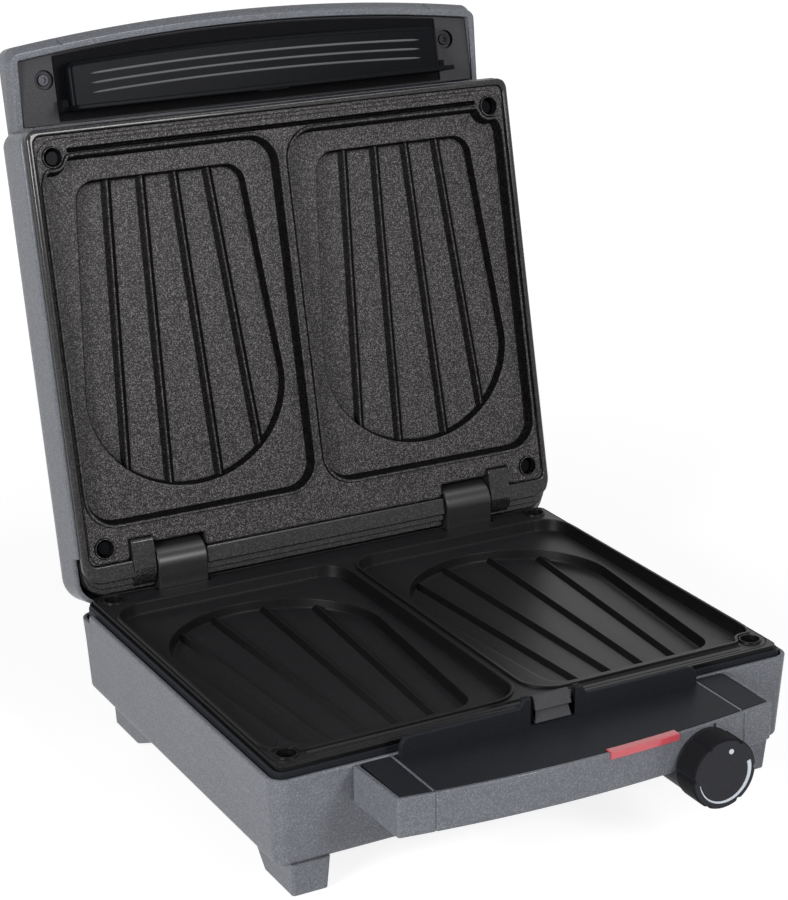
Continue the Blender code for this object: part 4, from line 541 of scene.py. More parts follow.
def foot(end, sign):
    # loft between the small sole and the longer root, which reaches just into the housing; a quarter circle
    # round the sole
    sole, root = feet[end]
    x = spanX(sign, feet["inner"], feet["outer"])
    low = rectangle(x, sole, feet["corner"])
    high = rectangle((x[0] - feet["flare"], x[1] + feet["flare"]), root, feet["corner"])
    rise = layout["floorZ"] - feet["lowZ"]
    rings = []
    for inset, fall in rounding(feet["edge"], 3):
        rings.append(lift(shrink(low + (high - low) * fall / rise, inset), feet["lowZ"] + fall))
    for share in feet["levels"]:
        rings.append(lift(low + (high - low) * share, feet["lowZ"] + rise * share))
    return skin(rings)


for end in ("front", "rear"):
    for side, sign in sides:
        makePiece(f"{end}Foot_{side}", [foot(end, sign)], finish["anthraciteFlake"], "base",
                  [f"foot_{end}_{side}"])
print("base housing and feet ready")

# Base handle

handle = {"rootHalf": 0.1042, "tipHalf": 0.1029, "reach": 0.040, "bow": 0.0081, "height": 0.020,
          "wall": 0.0020, "corner": 0.0018, "underEdge": 0.0014, "rimEdge": 0.0005, "back": -0.0003,
          "backRoom": 0.0004, "wallStart": 0.004, "innerEdge": 0.0003, "seamX": 0.0845, "seamWidth": 0.0007,
          "seamDepth": 0.0005, "rib": 0.0013, "coverThick": 0.0025}


def handleFront(x, inset=0.0):
    # bowed front edge, moved in by the inset
    return bowLine(x, handle["tipHalf"], handle["reach"], handle["bow"]) + inset


def handleOutline():
    # bowed front with a shallow groove at both seams, and a straight back
    x = seamStations(handle["tipHalf"], 41, handle)
    front = np.stack([x, handleFront(x) + handle["seamDepth"] * seamGroove(x, handle)], 1)
    points = np.vstack([front, [(handle["rootHalf"], handle["back"]), (-handle["rootHalf"], handle["back"])]])
    return roundCorners(points, [handle["corner"]] + [0] * (len(x) - 2) + [handle["corner"], 0, 0], 6)


def handleShell():
    # the trough as rings of its plan, and a rib under each seam
    top, bottom = layout["rimZ"], layout["rimZ"] - handle["height"]
    outline = handleOutline()
    back = handle["back"]

    def loop(inset, height):
        # walls move in at the front and sides only, the open back stays against the housing
        flat = shrink(outline, inset)
        flat[-2:, 1] = back - min(inset, handle["backRoom"])
        return lift(flat, height)

    rings = [loop(inset, bottom + rise) for inset, rise in rounding(handle["underEdge"], 4)]
    rings += [loop(0, height) for height in np.linspace(bottom + handle["wallStart"], top - handle["rimEdge"], 4)]
    rings += [loop(inset, top - fall) for inset, fall in rounding(handle["rimEdge"], 3)[::-1][1:]]
    rings += [loop(handle["wall"] - inset, top - fall) for inset, fall in rounding(handle["innerEdge"], 2)]
    rings += [loop(handle["wall"], bottom + handle["wall"])]
    parts = [skin(rings)]
    for sign in (-1, 1):
        x = np.array([sign * handle["seamX"] - handle["rib"] / 2, sign * handle["seamX"] + handle["rib"] / 2])
        front = handleFront(x, handle["wall"] / 2)
        rear = back - handle["backRoom"]
        rib = np.array([(x[0], front[0]), (x[1], front[1]), (x[1], rear), (x[0], rear)])
        parts.append(slab(rib, bottom + handle["wall"] / 2, top, handle["innerEdge"]))
    return parts


makePiece("frontHandleShell", handleShell(), finish["anthraciteFlake"], "base", ["base_handle_shell"])

insert = {"gap": 0.0003, "edge": 0.0003, "fenceFront": -0.006, "fenceThick": 0.003, "fenceHeight": 0.0105,
          "fenceOuter": 0.0826, "fenceRound": 0.006, "fenceEdge": 0.0007, "ramp": 0.0026, "rampRound": 0.003,
          "cheekIn": 0.0125, "cheekOut": 0.016, "cheekHeight": 0.0145, "cheekFront": -0.005, "cheekBack": -0.001,
          "cheekRound": 0.0008, "cheekTop": (0.0012, 0.0006), "cheekEdge": 0.0005, "back": -0.0006}


def bayOutline(x0, x1, inset):
    # the trough's plan between x0 and x1, moved in from the bowed front
    x = np.linspace(x0, x1, 25)
    front = np.stack([x, handleFront(x, inset)], 1)
    return np.vstack([front, [(x1, insert["back"]), (x0, insert["back"])]])


def centreCover():
    # the panel, and on it at either side a long crumb fence with a ramp up to the cheek beside the catch
    top = layout["rimZ"]
    edge = handle["seamX"] - handle["rib"] / 2 - insert["gap"]
    inset = handle["wall"] + insert["gap"]
    parts = [slab(bayOutline(-edge, edge, inset), top - handle["coverThick"], top, insert["edge"])]
    base = top - handle["coverThick"] / 2
    fenceTop, cheekTop = top + insert["fenceHeight"], top + insert["cheekHeight"]
    within, out, small = insert["cheekIn"], insert["cheekOut"], insert["cheekRound"]
    fence = roundTriples([(within, base, 0), (insert["fenceOuter"], base, 0),
                          (insert["fenceOuter"], fenceTop, insert["fenceRound"]),
                          (out + insert["ramp"], fenceTop, insert["rampRound"]),
                          (out, cheekTop, small), (within, cheekTop, small)], 10)
    front, back = insert["cheekFront"], insert["cheekBack"]
    cheek = roundCorners([(front, base), (back, base), (back, cheekTop), (front, cheekTop)],
                         [0, 0, *insert["cheekTop"]], 5)
    low = insert["fenceFront"]
    for sign in (-1, 1):
        outline = fence if sign > 0 else (fence * (-1, 1))[::-1]
        parts.append(slab(outline, low, low + insert["fenceThick"], insert["fenceEdge"], "y"))
        x = spanX(sign, within, out)
        parts.append(slab(cheek, x[0], x[1], insert["cheekEdge"], "x"))
    return parts


def endBlocks(sign):
    # the block that fills the trough beyond a seam
    inner = handle["seamX"] + handle["rib"] / 2 + insert["gap"]
    outer = handle["tipHalf"] - handle["wall"] - insert["gap"]
    x0, x1 = spanX(sign, inner, outer)
    low = layout["rimZ"] - handle["height"] + handle["wall"] + insert["gap"]
    return slab(bayOutline(x0, x1, handle["wall"] + insert["gap"]), low, layout["rimZ"], insert["edge"])


makePiece("centreCoverPanel", centreCover(), finish["mouldedBlack"], "base", ["handle_cover"])
for side, sign in sides:
    makePiece(f"endBlock_{side}", [endBlocks(sign)], finish["mouldedBlack"], "base", [f"handle_end_{side}"])

catch = {"half": 0.010, "back": -0.0008, "front": -0.006, "face": -0.003, "height": 0.0135, "tooth": 0.0064,
         "gap": 0.0003, "crest": 0.0004, "undercut": 0.0002, "topRound": (0.0006, 0.0004), "toothRound": 0.0002,
         "edge": 0.0003}


def latchCatch():
    # two sawteeth: each slopes forward to a crest and steps back under it
    top, base = layout["rimZ"] + catch["height"], layout["rimZ"] + catch["gap"]
    front, face = catch["front"], catch["face"]
    points = [(catch["back"], base), (catch["back"], top), (face, top)]
    for tooth in (1, 2):
        low = top - tooth * catch["tooth"]
        points += [(front, low + catch["crest"]), (front, low), (face, low - catch["undercut"])]
    points[-1] = (face, base)
    radii = [0, *catch["topRound"]] + [catch["toothRound"]] * 5 + [0]
    return slab(roundCorners(points, radii, 3), -catch["half"], catch["half"], catch["edge"], "x", steps=2)


makePiece("latchCatchTeeth", [latchCatch()], finish["gripBlack"], "base", ["latch_catch"])

bar = {"end": 0.0435, "length": 0.039, "proud": 0.0008, "deep": 0.0038, "high": 0.003, "edge": 0.0006,
       "lowEdge": 0.0002}


def indicatorBar():
    # a strip along the handle's upper front edge that stands proud of its front and of its top
    x = np.linspace(bar["end"] - bar["length"], bar["end"], 25)
    front = handleFront(x)
    outline = np.vstack([np.stack([x, front - bar["proud"]], 1), np.stack([x, front + bar["deep"]], 1)[::-1]])
    top = layout["rimZ"] + bar["proud"]
    return slab(outline, layout["rimZ"] - bar["high"], top, bar["edge"], lowEdge=bar["lowEdge"])


makePiece("indicatorLens", [indicatorBar()], finish["coralBar"], "base", ["indicator_bar"])
print("front handle ready")

# Thermostat housing and knob

knob = {"x": 0.0595, "z": 0.0452, "housingFace": -0.04779, "housing": 0.017, "back": -0.04809, "radius": 0.0178,
        "depth": 0.0144, "edge": 0.0013, "notches": 6, "notchDepth": 0.0010, "notchWidth": 0.10, "rearBevel": 0.0006,
        "rearBore": 0.0095, "dish": ((0.002, 0.00025), (0.0125, 0.00022), (0.0160, 0.0001)),
        "dot": (0.0032, 0.0112, 0.0013), "arcRadius": 0.0142, "arcThin": 0.00012, "arcThick": 0.00125,
        "arcSwell": 1.6, "arcFrom": -101.0, "arcTo": -287.4, "markHeight": 0.00012, "markDeep": 0.0006,
        "markEdge": 0.00003, "sleeveEdge": 0.001, "sleeveBore": 0.004, "sleeveFlat": 0.0112,
        "sleeveRear": ((0, -0.0006), (0.003, -0.0004))}


def knobWave(angles):
    # the radius dips in a narrow cosine groove at each notch
    turn = (angles * knob["notches"] / (2 * math.pi) + 0.5) % 1 - 0.5
    away = np.abs(turn) * 2 * math.pi / knob["notches"]
    dip = np.where(away < knob["notchWidth"], 0.5 + 0.5 * np.cos(math.pi * away / knob["notchWidth"]), 0)
    return 1 - dip * knob["notchDepth"] / knob["radius"]


def knobBody():
    # dished face, rounded edge and straight side, turned round the shaft with the notches' wave
    front, back, radius, bevel = knob["back"] - knob["depth"], knob["back"], knob["radius"], knob["rearBevel"]
    profile = [(reach, front + fall) for reach, fall in knob["dish"]]
    profile += [(radius - inset, front + fall) for inset, fall in rounding(knob["edge"], 6)]
    profile += [(radius, back - bevel), (radius - bevel, back), (knob["rearBore"], back)]
    return turnedBody(profile, (knob["x"], 0, knob["z"]), "y", 192, knobWave)


def knobMarks():
    # a dot, and an arc whose width grows along its way; 0.45 of the width lies outside the circle, 0.55 inside
    front = knob["back"] - knob["depth"]
    share = np.linspace(0, 1, 60)
    angle = np.radians(np.linspace(knob["arcFrom"], knob["arcTo"], 60))
    half = (knob["arcThin"] + (knob["arcThick"] - knob["arcThin"]) * share ** 0.8) / 2 * knob["arcSwell"]
    way = np.stack([np.sin(angle), np.cos(angle)], 1)
    centre = np.array([knob["x"], knob["z"]])
    outer = centre + way * (knob["arcRadius"] + half * 0.9)[:, None]
    inner = centre + way * (knob["arcRadius"] - half * 1.1)[:, None]
    dx, dz, radius = knob["dot"]
    low, high = front - knob["markHeight"], front + knob["markDeep"]
    return [slab(outline, low, high, knob["markEdge"], "y", steps=1)
            for outline in (np.vstack([outer, inner[::-1]]), circle(centre + (dx, dz), radius, 24))]


def housingBody():
    # round sleeve behind the knob; it ends just inside the housing's front wall
    radius, face = knob["housing"], knob["housingFace"]
    profile = [(knob["sleeveBore"], face), (knob["sleeveFlat"], face)]
    profile += [(radius - inset, face + fall) for inset, fall in rounding(knob["sleeveEdge"], 4)]
    profile += [(radius - inset, y) for inset, y in knob["sleeveRear"]]
    return turnedBody(profile, (knob["x"], 0, knob["z"]), "y", 96)


makePiece("thermostatSleeve", [housingBody()], finish["mouldedBlack"], "base", ["thermostat_housing"])
knobPiece = makePiece("knobGrip", [knobBody()], finish["knobBlack"], "knob", ["thermostat_knob"])
# painted shade: the knob's side is drawn darker than its face
markShadedWalls(knobPiece, (0, -1, 0))
makePiece("knobScale", knobMarks(), finish["markPaint"], "knob")

pointer = {"x": 0.0655, "half": 0.0006, "tipZ": 0.0591, "shoulderZ": 0.0599, "topZ": 0.0630, "proud": 0.0001,
           "deep": 0.001, "edge": 0.00005}


def pointerBody():
    # a small arrow on the handle's front that points down at the knob
    left, right = pointer["x"] - pointer["half"], pointer["x"] + pointer["half"]
    shoulder, top = pointer["shoulderZ"], pointer["topZ"]
    tip = (pointer["x"], pointer["tipZ"])
    outline = np.array([(left, shoulder), tip, (right, shoulder), (right, top), (left, top)])
    face = handleFront(pointer["x"])
    return slab(outline, face - pointer["proud"], face + pointer["deep"], pointer["edge"], "y", steps=1)


makePiece("pointerNotch", [pointerBody()], finish["mouldedBlack"], "base")
print("knob ready")

# Frames and plates

plate = {"half": 0.13961, "front": 0.00459, "rear": 0.2298, "faceZ": 0.0682, "thick": 0.0125, "corner": 0.004,
         "rearCorner": 0.007, "lip": 0.0013, "cavity": 0.0052, "cavityIn": 0.0035, "cavityOut": 0.13661,
         "cavityFront": 0.01639, "cavityRear": 0.2100, "cavityCorner": 0.016, "lineCorner": 0.0115, "line": 0.0013,
         "rowHalf": 0.119, "row": (0.0083, 0.0090), "rowCorner": 0.0003, "channelHalf": 0.1222,
         "channel": (0.0116, 0.0143), "channelCorner": 0.00133, "pocket": 0.0055, "pocketX": 0.07006,
         "pocketHalf": 0.0573, "pocketFront": 0.03009, "pocketRear": 0.1967, "topShare": 0.826, "cornerShare": 0.19,
         "widestShare": 0.69, "spacing": 0.0016, "smoothing": 3, "bossX": 0.1303, "bossFront": 0.01569,
         "bossRear": 0.2214, "bossRing": 0.0059, "bossHole": 0.0049, "bossHigh": 0.0011, "bossDeep": 0.0112,
         "bossRoom": 0.0079, "ridgeFrontShares": (-0.506, -0.165, 0.167, 0.504),
         "ridgeRearShares": (-0.67, -0.26, 0.252, 0.692), "ridgeEndShares": (0.925, 0.992, 0.992, 0.918),
         "ridgeHigh": 0.0023, "ridgeFoot": 0.0031, "ridgeCrest": 0.0003, "knuckleIn": 0.0734, "knuckleOut": 0.1031,
         "knuckleFront": 0.2231, "earOut": 0.1163, "earFront": 0.2189, "earRoom": 0.0006, "slotOutside": 0.0030,
         "slotInside": 0.0010, "ridgeBite": 0.0002}


def plateOutline(upper, front, corner):
    # rear edge from right to left, with slots for the knuckles and, above, for the lid's ears
    half, rear, rearCorner = plate["half"], plate["rear"], min(corner, plate["rearCorner"])
    near, far, ear = plate["knuckleIn"], plate["knuckleOut"], plate["earOut"]
    outside, inside = plate["slotOutside"], plate["slotInside"]
    deep = plate["knuckleFront"] - (plate["earRoom"] if upper else 0)
    slots = [(far, rear, outside), (far, deep, inside)]
    if upper:
        slots = [(ear, rear, outside), (ear, plate["earFront"], inside), (far, plate["earFront"], inside),
                 (far, deep, outside / 1.2)]
    slots += [(near, deep, inside), (near, rear, outside)]
    slots += [(-x, y, radius) for x, y, radius in slots[::-1]]
    corners = [(-half, front, corner), (half, front, corner), (half, rear, rearCorner)]
    return roundTriples(corners + slots + [(-half, rear, rearCorner)], 6)


def plateBorder(upper):
    # from the field outwards: a fine scored line with wide front corners, then the plate's own rounded edge
    full = plateOutline(upper, plate["front"], plate["corner"])
    wide = plateOutline(upper, plate["front"] + plate["line"], plate["lineCorner"])
    line = [(0.0009, 0), (0.0007, 0.0004), (0.0005, 0.0004), (0.0003, 0)]
    edge = [(0.0002, 0), (0.00005, 0.0002), (0, 0.0006), (0, plate["thick"])]
    return sunk(wide, line) + sunk(full, edge)


def frontGrooves():
    # a scored row and a deeper channel that run between the two front bosses
    row = rectangle((-plate["rowHalf"], plate["rowHalf"]), plate["row"], plate["rowCorner"])
    channel = rectangle((-plate["channelHalf"], plate["channelHalf"]), plate["channel"], plate["channelCorner"])
    return [sunk(row, [(0, 0), (0.0002, 0.0004)]),
            sunk(channel, [(0, 0), (0.0002, 0.0003), (0.0013, 0.0026)])]


def pocketOutline():
    # straight front with round corners, flaring sides and a half-elliptic rear end
    half, front, rear = plate["pocketHalf"], plate["pocketFront"], plate["pocketRear"]
    topHalf, corner = half * plate["topShare"], half * plate["cornerShare"]
    widest = front + (rear - front) * plate["widestShare"]
    arc = np.linspace(0, math.pi, 61)
    end = np.stack([half * np.cos(arc), widest + (rear - widest) * np.sin(arc)], 1)
    points = np.vstack([[(-topHalf, front), (topHalf, front)], end])
    return roundCorners(points, [corner, corner] + [0] * len(end), 12)


def recessStack(sign):
    # lip, cavity wall, cavity floor, pocket wall and pocket floor: two outlines followed by normal offsets
    centre = np.array([plate["pocketX"], 0.5 * (plate["cavityFront"] + plate["cavityRear"])])
    cavity = rectangle((plate["cavityIn"], plate["cavityOut"]), (plate["cavityFront"], plate["cavityRear"]),
                       plate["cavityCorner"], steps=16)
    spaced = np.vstack([np.linspace(a, b, max(2, int(np.linalg.norm(b - a) / plate["spacing"])), endpoint=False)
                        for a, b in zip(cavity, np.roll(cavity, -1, 0))])
    away = spaced - centre
    angles = np.arctan2(away[:, 1], away[:, 0])
    outer = polarMatch(cavity, centre, angles)
    # the cavity keeps clear of the screw boss at its outer front corner: the nearer of wall and circle counts
    ways = np.stack([np.cos(angles), np.sin(angles)], 1)
    boss = np.array([plate["bossX"], plate["bossFront"]]) - centre
    along = ways @ boss
    miss = boss @ boss - along ** 2
    clear = plate["bossRoom"] ** 2 - miss
    near = np.where((clear > 0) & (along > 0), along - np.sqrt(np.maximum(clear, 0)), np.inf)
    reach = np.minimum(np.linalg.norm(outer - centre, axis=1), near)
    for _ in range(plate["smoothing"]):
        reach = (np.roll(reach, 1) + 2 * reach + np.roll(reach, -1)) / 4
    outer = centre + ways * reach[:, None]
    inner = polarMatch(pocketOutline() + (plate["pocketX"], 0), centre, angles)
    lip, deep, pocket = plate["lip"], plate["cavity"], plate["pocket"]
    outerProfile = [(-0.0019, 0), (-0.0018, -0.4 * lip), (-0.0016, -0.85 * lip), (-0.0013, -lip),
                    (-0.0005, -lip), (-0.0001, -0.85 * lip), (0.0002, -0.3 * lip), (0.0013, deep - 0.0010),
                    (0.0017, deep - 0.0004), (0.0021, deep - 0.00005), (0.0028, deep)]
    innerProfile = [(-0.0016, deep), (-0.0010, deep), (-0.0005, deep + 0.00012), (-0.0001, deep + 0.0006),
                    (0.0006, deep + pocket - 0.0013), (0.0011, deep + pocket - 0.0004),
                    (0.0019, deep + pocket - 0.00005), (0.0030, deep + pocket)]
    stack = sunk(outer, outerProfile) + sunk(inner, innerProfile)
    if sign < 0:
        stack = [((loop * (-1, 1))[::-1], fall) for loop, fall in stack]
    return stack


def bossStack(place):
    # raised ring round the screw hole, the bore, and a cone down to the screw
    ring, hole, high = plate["bossRing"], plate["bossHole"], plate["bossHigh"]
    profile = [(ring, 0), (ring - 0.00025, -0.5 * high), (ring - 0.0004, -0.95 * high), (ring - 0.0005, -high),
               (hole + 0.0001, -high), (hole, -0.9 * high), (hole - 0.0001, -0.5 * high),
               (hole - 0.0006, 0.004), (0.0020, plate["bossDeep"] - 0.001), (0.0004, plate["bossDeep"])]
    return [(circle(place, radius), fall) for radius, fall in profile]


def ridge(sign, front, rear, end):
    # a crest with steep flanks that flatten into the pocket floor, carried from the front wall to the round end
    length = plate["pocketRear"] - plate["pocketFront"]
    half, floor = plate["pocketHalf"], plate["faceZ"] - plate["cavity"] - plate["pocket"]
    foot, crest, high = plate["ridgeFoot"], plate["ridgeCrest"], plate["ridgeHigh"]
    shares = np.array([(1.06, -0.12), (1.0, 0.0), (0.93, 0.045), (0.82, 0.16), (0.2, 0.84), (0.06, 0.96), (0, 1)])
    flank = np.stack([crest + (foot - crest) * shares[:, 0], high * shares[:, 1]], 1)
    profile = np.vstack([flank, (flank * (-1, 1))[::-1], [(-foot, -high / 2), (foot, -high / 2)]])
    start = (sign * plate["pocketX"] + front * half, plate["pocketFront"] - plate["ridgeBite"], floor)
    tip = (sign * plate["pocketX"] + rear * half, plate["pocketFront"] + length * end, floor)
    return carried(profile, start, tip, (1, 0, 0), (0, 0, 1))


def platePart(upper):
    # the field with its scored border, two recesses, four bosses and two front grooves, and the ridges in the pockets
    places = [(sx * plate["bossX"], y) for sx in (-1, 1) for y in (plate["bossFront"], plate["bossRear"])]
    stacks = [recessStack(-1), recessStack(1)] + [bossStack(place) for place in places]
    parts = [fieldBody(plateBorder(upper), stacks + frontGrooves(), plate["faceZ"])]
    for sign in (-1, 1):
        for front, rear, end in zip(plate["ridgeFrontShares"], plate["ridgeRearShares"], plate["ridgeEndShares"]):
            parts.append(ridge(sign, front, rear, end))
    if upper:
        parts = [(points * (1, 1, -1) + (0, 0, layout["mirrorZ"]), faces) for points, faces in parts]
    return parts


lowerPlate = makePiece("lowerPlateCoated", platePart(False), finish["lowerCoating"], "base", ["lower_plate"])
upperPlate = makePiece("upperPlateCoated", platePart(True), finish["upperCoating"], "lid", ["upper_plate"])
lean = layout["openAngle"]
lidAxis = (0, -math.sin(lean), -math.cos(lean))
# painted shade: steep walls and flanks in the plates' recesses and holes are drawn darker
markShadedWalls(lowerPlate, (0, 0, 1))
markShadedWalls(upperPlate, lidAxis)
print("plates ready")

band = {"half": 0.14191, "front": 0.00309, "rear": 0.2322, "corner": 0.006, "low": 0.0568, "inner": 0.0020,
        "step": ((0, 0.0640), (0.0001, 0.0642), (0.0004, 0.0643), (0.0004, 0.0653), (0.0006, 0.0658)),
        "land": ((0.0010, 0.0660), (0.0016, 0.0660), (0.0020, 0.0656)),
        "ledge": 0.0033, "ledgeRoom": 0.001, "ledgeEdge": 0.0004, "bowls": 0.1305, "bowlFront": 0.0270,
        "bowlRear": 0.1998, "bowlCorner": 0.001}


def frameBand():
    # closed profile carried round the rim: outer wall, rounded step, land and inner wall
    outline = rectangle((-band["half"], band["half"]), (band["front"], band["rear"]), band["corner"], steps=12)
    profile = [(0, band["low"]), *band["step"], *band["land"], (band["inner"], band["low"])]
    return skin([lift(shrink(outline, inset), height) for inset, height in profile], wrap=True)


def frameFloor():
    # ledge under the plate, open where the bowls hang through
    room, half, low = band["ledgeRoom"], band["half"], band["low"]
    outline = rectangle((-half + room, half - room), (band["front"] + room, band["rear"] - room),
                        band["corner"] - room)
    hole = rectangle((-band["bowls"], band["bowls"]), (band["bowlFront"], band["bowlRear"]), band["bowlCorner"])
    return pierced(outline, [hole], low, low + band["ledge"], band["ledgeEdge"])


makePiece("baseFrameBand", [frameBand(), frameFloor()], finish["mouldedBlack"], "base", ["base_frame"])

flange = {"rim": 0.0022, "half": 0.1435, "front": 0.0008, "rear": 0.2397, "corner": 0.006, "rearCorner": 0.010,
          "faceZ": 0.0699, "seatZ": 0.0746, "stepRear": 0.2432, "stepZ": 0.0724, "insertRear": 0.2462,
          "insertTop": 0.0829, "gap": 0.0003, "slotCorner": 0.0012, "holeCorner": 0.0043, "faceEdge": 0.0009,
          "stepEdge": 0.0006, "topEdge": 0.0003, "earRadius": 0.0108, "earBack": 0.016, "earTop": 0.0820,
          "earCorner": 0.0018, "earEdge": 0.0008, "stepLap": 0.001, "wideFrom": 0.0010, "wideOver": 0.0020,
          "earTurn": 75}


def brokenRing(half, front, rear):
    # the ring round the plate is open at both knuckle slots: one long part from slot to slot, one strip between them
    out, within, gap = plate["knuckleOut"], plate["knuckleIn"], flange["gap"]
    side, low, high = plate["half"] + gap, plate["front"] - gap, plate["rear"] + gap
    corner, rearCorner = flange["corner"], flange["rearCorner"]
    small, hole = flange["slotCorner"], flange["holeCorner"]
    corners = [(-half, front, corner), (half, front, corner), (half, rear, rearCorner), (out, rear, small),
               (out, high, small), (side, high, hole), (side, low, hole), (-side, low, hole), (-side, high, hole),
               (-out, high, small), (-out, rear, small), (-half, rear, rearCorner)]
    return [roundTriples(corners, 8), rectangle((-within, within), (high, rear), small)]


def lidFrame():
    # three levels: half width, front, rear, height from, height to and the radius of the lower edge
    step, lapZ = flange["stepEdge"], flange["seatZ"] + flange["stepLap"]
    levels = [(flange["half"], flange["front"], flange["rear"], flange["faceZ"], flange["seatZ"], flange["faceEdge"]),
              (band["half"], band["front"], flange["stepRear"], flange["stepZ"], lapZ, step),
              (band["half"], band["front"], flange["insertRear"], flange["seatZ"], flange["insertTop"], step)]
    parts = []
    for half, front, rear, low, high, edge in levels:
        for outline in brokenRing(half, front, rear):
            # the wide rounding runs along the front and both sides of the lowest level only
            outline = counterclockwise(outline)
            reach = np.maximum(np.abs(outline[:, 0]) - plate["half"], plate["front"] - outline[:, 1])
            share = np.clip((reach - flange["wideFrom"]) / flange["wideOver"], 0, 1) * (low == flange["faceZ"])
            lowEdge = edge + (flange["rim"] - edge) * share
            parts.append(slab(outline, low, high, flange["topEdge"], lowEdge=lowEdge))
    # ears beside the knuckles: a round end over the hinge axis and a straight root
    centre, radius = np.array([layout["hingeY"], layout["hingeZ"]]), flange["earRadius"]
    front = centre[0] - flange["earBack"]
    angles = np.linspace(-math.pi / 2, math.radians(flange["earTurn"]), 30)
    arc = centre + radius * np.stack([np.cos(angles), np.sin(angles)], 1)
    outline = np.vstack([[(front, centre[1] - radius)], arc, [(front, flange["earTop"])]])
    outline = roundCorners(outline, [flange["earCorner"]] + [0] * len(arc) + [0], 5)
    for sign in (-1, 1):
        x = spanX(sign, plate["knuckleOut"], plate["earOut"] - flange["gap"])
        parts.append(slab(outline, x[0], x[1], flange["earEdge"], "x"))
    return parts


makePiece("lidFrameFlange", lidFrame(), finish["frameCoating"], "lid", ["lid_frame"])

knuckle = {"inner": 0.074, "outer": 0.1025, "radius": 0.0115, "neckBack": 0.2325, "neckLow": 0.0520, "edge": 0.0009,
           "neckTurn": -62, "neckDrop": 0.003}


def knuckleBody(sign):
    # barrel over the hinge axis that runs down into a flat neck
    y, z, radius = layout["hingeY"], layout["hingeZ"], knuckle["radius"]
    angles = np.linspace(math.pi, math.radians(knuckle["neckTurn"]), 40)
    arc = np.array([y, z]) + radius * np.stack([np.cos(angles), np.sin(angles)], 1)
    outline = np.vstack([[(y - radius, knuckle["neckLow"])], arc,
                         [(knuckle["neckBack"], arc[-1][1] - knuckle["neckDrop"]),
                          (knuckle["neckBack"], knuckle["neckLow"])]])[::-1]
    x = spanX(sign, knuckle["inner"], knuckle["outer"])
    return slab(outline, x[0], x[1], knuckle["edge"], "x")


for side, sign in sides:
    makePiece(f"hingeKnuckle_{side}", [knuckleBody(sign)], finish["hingeBlack"], "base",
              [f"hinge_knuckle_{side}"])
print("frames and hinge ready")

# Lid shell with its handle

lid = {"rimZ": 0.0749, "height": 0.0415, "straight": 0.0245, "front": 0.00019, "back": 0.2527, "corner": 0.0085,
       "rearCorner": 0.014, "rimEdge": 0.0014, "notchStart": 0.2250, "notchLength": 0.0008,
       "notchRise": 0.0065, "knuckleRise": 0.0168, "knuckleY": 0.006, "knuckleRoom": 0.0003, "knuckleStep": 0.0006,
       "noseHalf": 0.1396, "noseReach": 0.0421, "noseBow": 0.0096, "lipSide": 0.0008, "lipFront": 0.0036,
       "noseRim": 0.0949, "slope": 0.117, "topDrop": 0.002, "noseRound": 0.008, "noseCorner": 0.006,
       "noseWall": 0.0038, "root": 0.030, "bulgeRise": 0.0075, "seamX": 0.110, "seamWidth": 0.0007,
       "seamDepth": 0.0008, "leastCorner": 0.0012, "innerEdge": 0.0004, "noseRimEdge": 0.0008,
       "noseInnerEdge": 0.0005, "hollowLow": 0.0965, "hollowTop": 0.0023,
       "bendRoom": 0.002, "innerStart": 0.004}


def lidOutline(inset):
    # moved in by the inset, which may be larger than the corner radius
    half, front, back = layout["halfWidth"] - inset, lid["front"] + inset, lid["back"] - inset
    start, length, step = lid["notchStart"], lid["notchLength"], lid["knuckleStep"]
    side = [start, start + length / 2, start + length]
    slots = [plate["knuckleOut"] + step, plate["knuckleOut"], plate["knuckleIn"], plate["knuckleIn"] - step]
    rear = [(x, back) for x in slots] + [(-x, back) for x in slots[::-1]]
    points = [(-half, front), (half, front)] + [(half, y) for y in side] + [(half, back)] + rear + [(-half, back)]
    points += [(-half, y) for y in side[::-1]]
    near, far = (max(lid[key] - inset, lid["leastCorner"]) for key in ("corner", "rearCorner"))
    radii = [near] * 2 + [0] * 3 + [far] + [0] * 8 + [far] + [0] * 3
    return roundCorners(points, radii, 14)


def raiseRim(ring):
    # the rim steps up behind the notch line, and higher where the knuckles pass; the rise fades out up the wall
    share = np.clip((ring[:, 1] - lid["notchStart"]) / lid["notchLength"], 0, 1)
    rise = lid["notchRise"] * share
    x, room = np.abs(ring[:, 0]), lid["knuckleRoom"]
    slot = (x < plate["knuckleOut"] + room) & (x > plate["knuckleIn"] - room)
    slot &= ring[:, 1] > layout["hingeY"] + lid["knuckleY"]
    rise = np.where(slot, lid["knuckleRise"], rise)
    fade = np.clip(1 - (ring[:, 2] - lid["rimZ"]) / lid["straight"], 0, 1)
    ring[:, 2] += rise * fade
    return ring


def lidCrown():
    # quarter-round crown, straight wall, rounded rim and inner wall, as rings of the moved-in outline
    rim, top = lid["rimZ"], lid["rimZ"] + lid["height"]
    bend = lid["height"] - lid["straight"]
    wall = layout["wall"]
    loops = [(inset, top - fall) for inset, fall in rounding(bend, 14)]
    room = lid["bendRoom"]
    loops += [(0, height) for height in np.linspace(top - bend - room, rim + lid["rimEdge"] + room, 6)]
    loops += [(inset, rim + fall) for inset, fall in rounding(lid["rimEdge"], 4)[::-1]]
    loops += [(wall - inset, rim + fall) for inset, fall in rounding(lid["innerEdge"], 2)]
    loops += [(wall, height) for height in (rim + lid["innerStart"], top - bend)]
    loops += [(wall + inset, top - wall - fall * (bend - wall) / bend) for inset, fall in rounding(bend, 6)[::-1][1:]]
    return skin([raiseRim(lift(lidOutline(inset), height)) for inset, height in loops])


def noseFront(x, front):
    # the lid handle's front line, moved in by front
    return bowLine(x, lid["noseHalf"], lid["noseReach"] - front, lid["noseBow"])


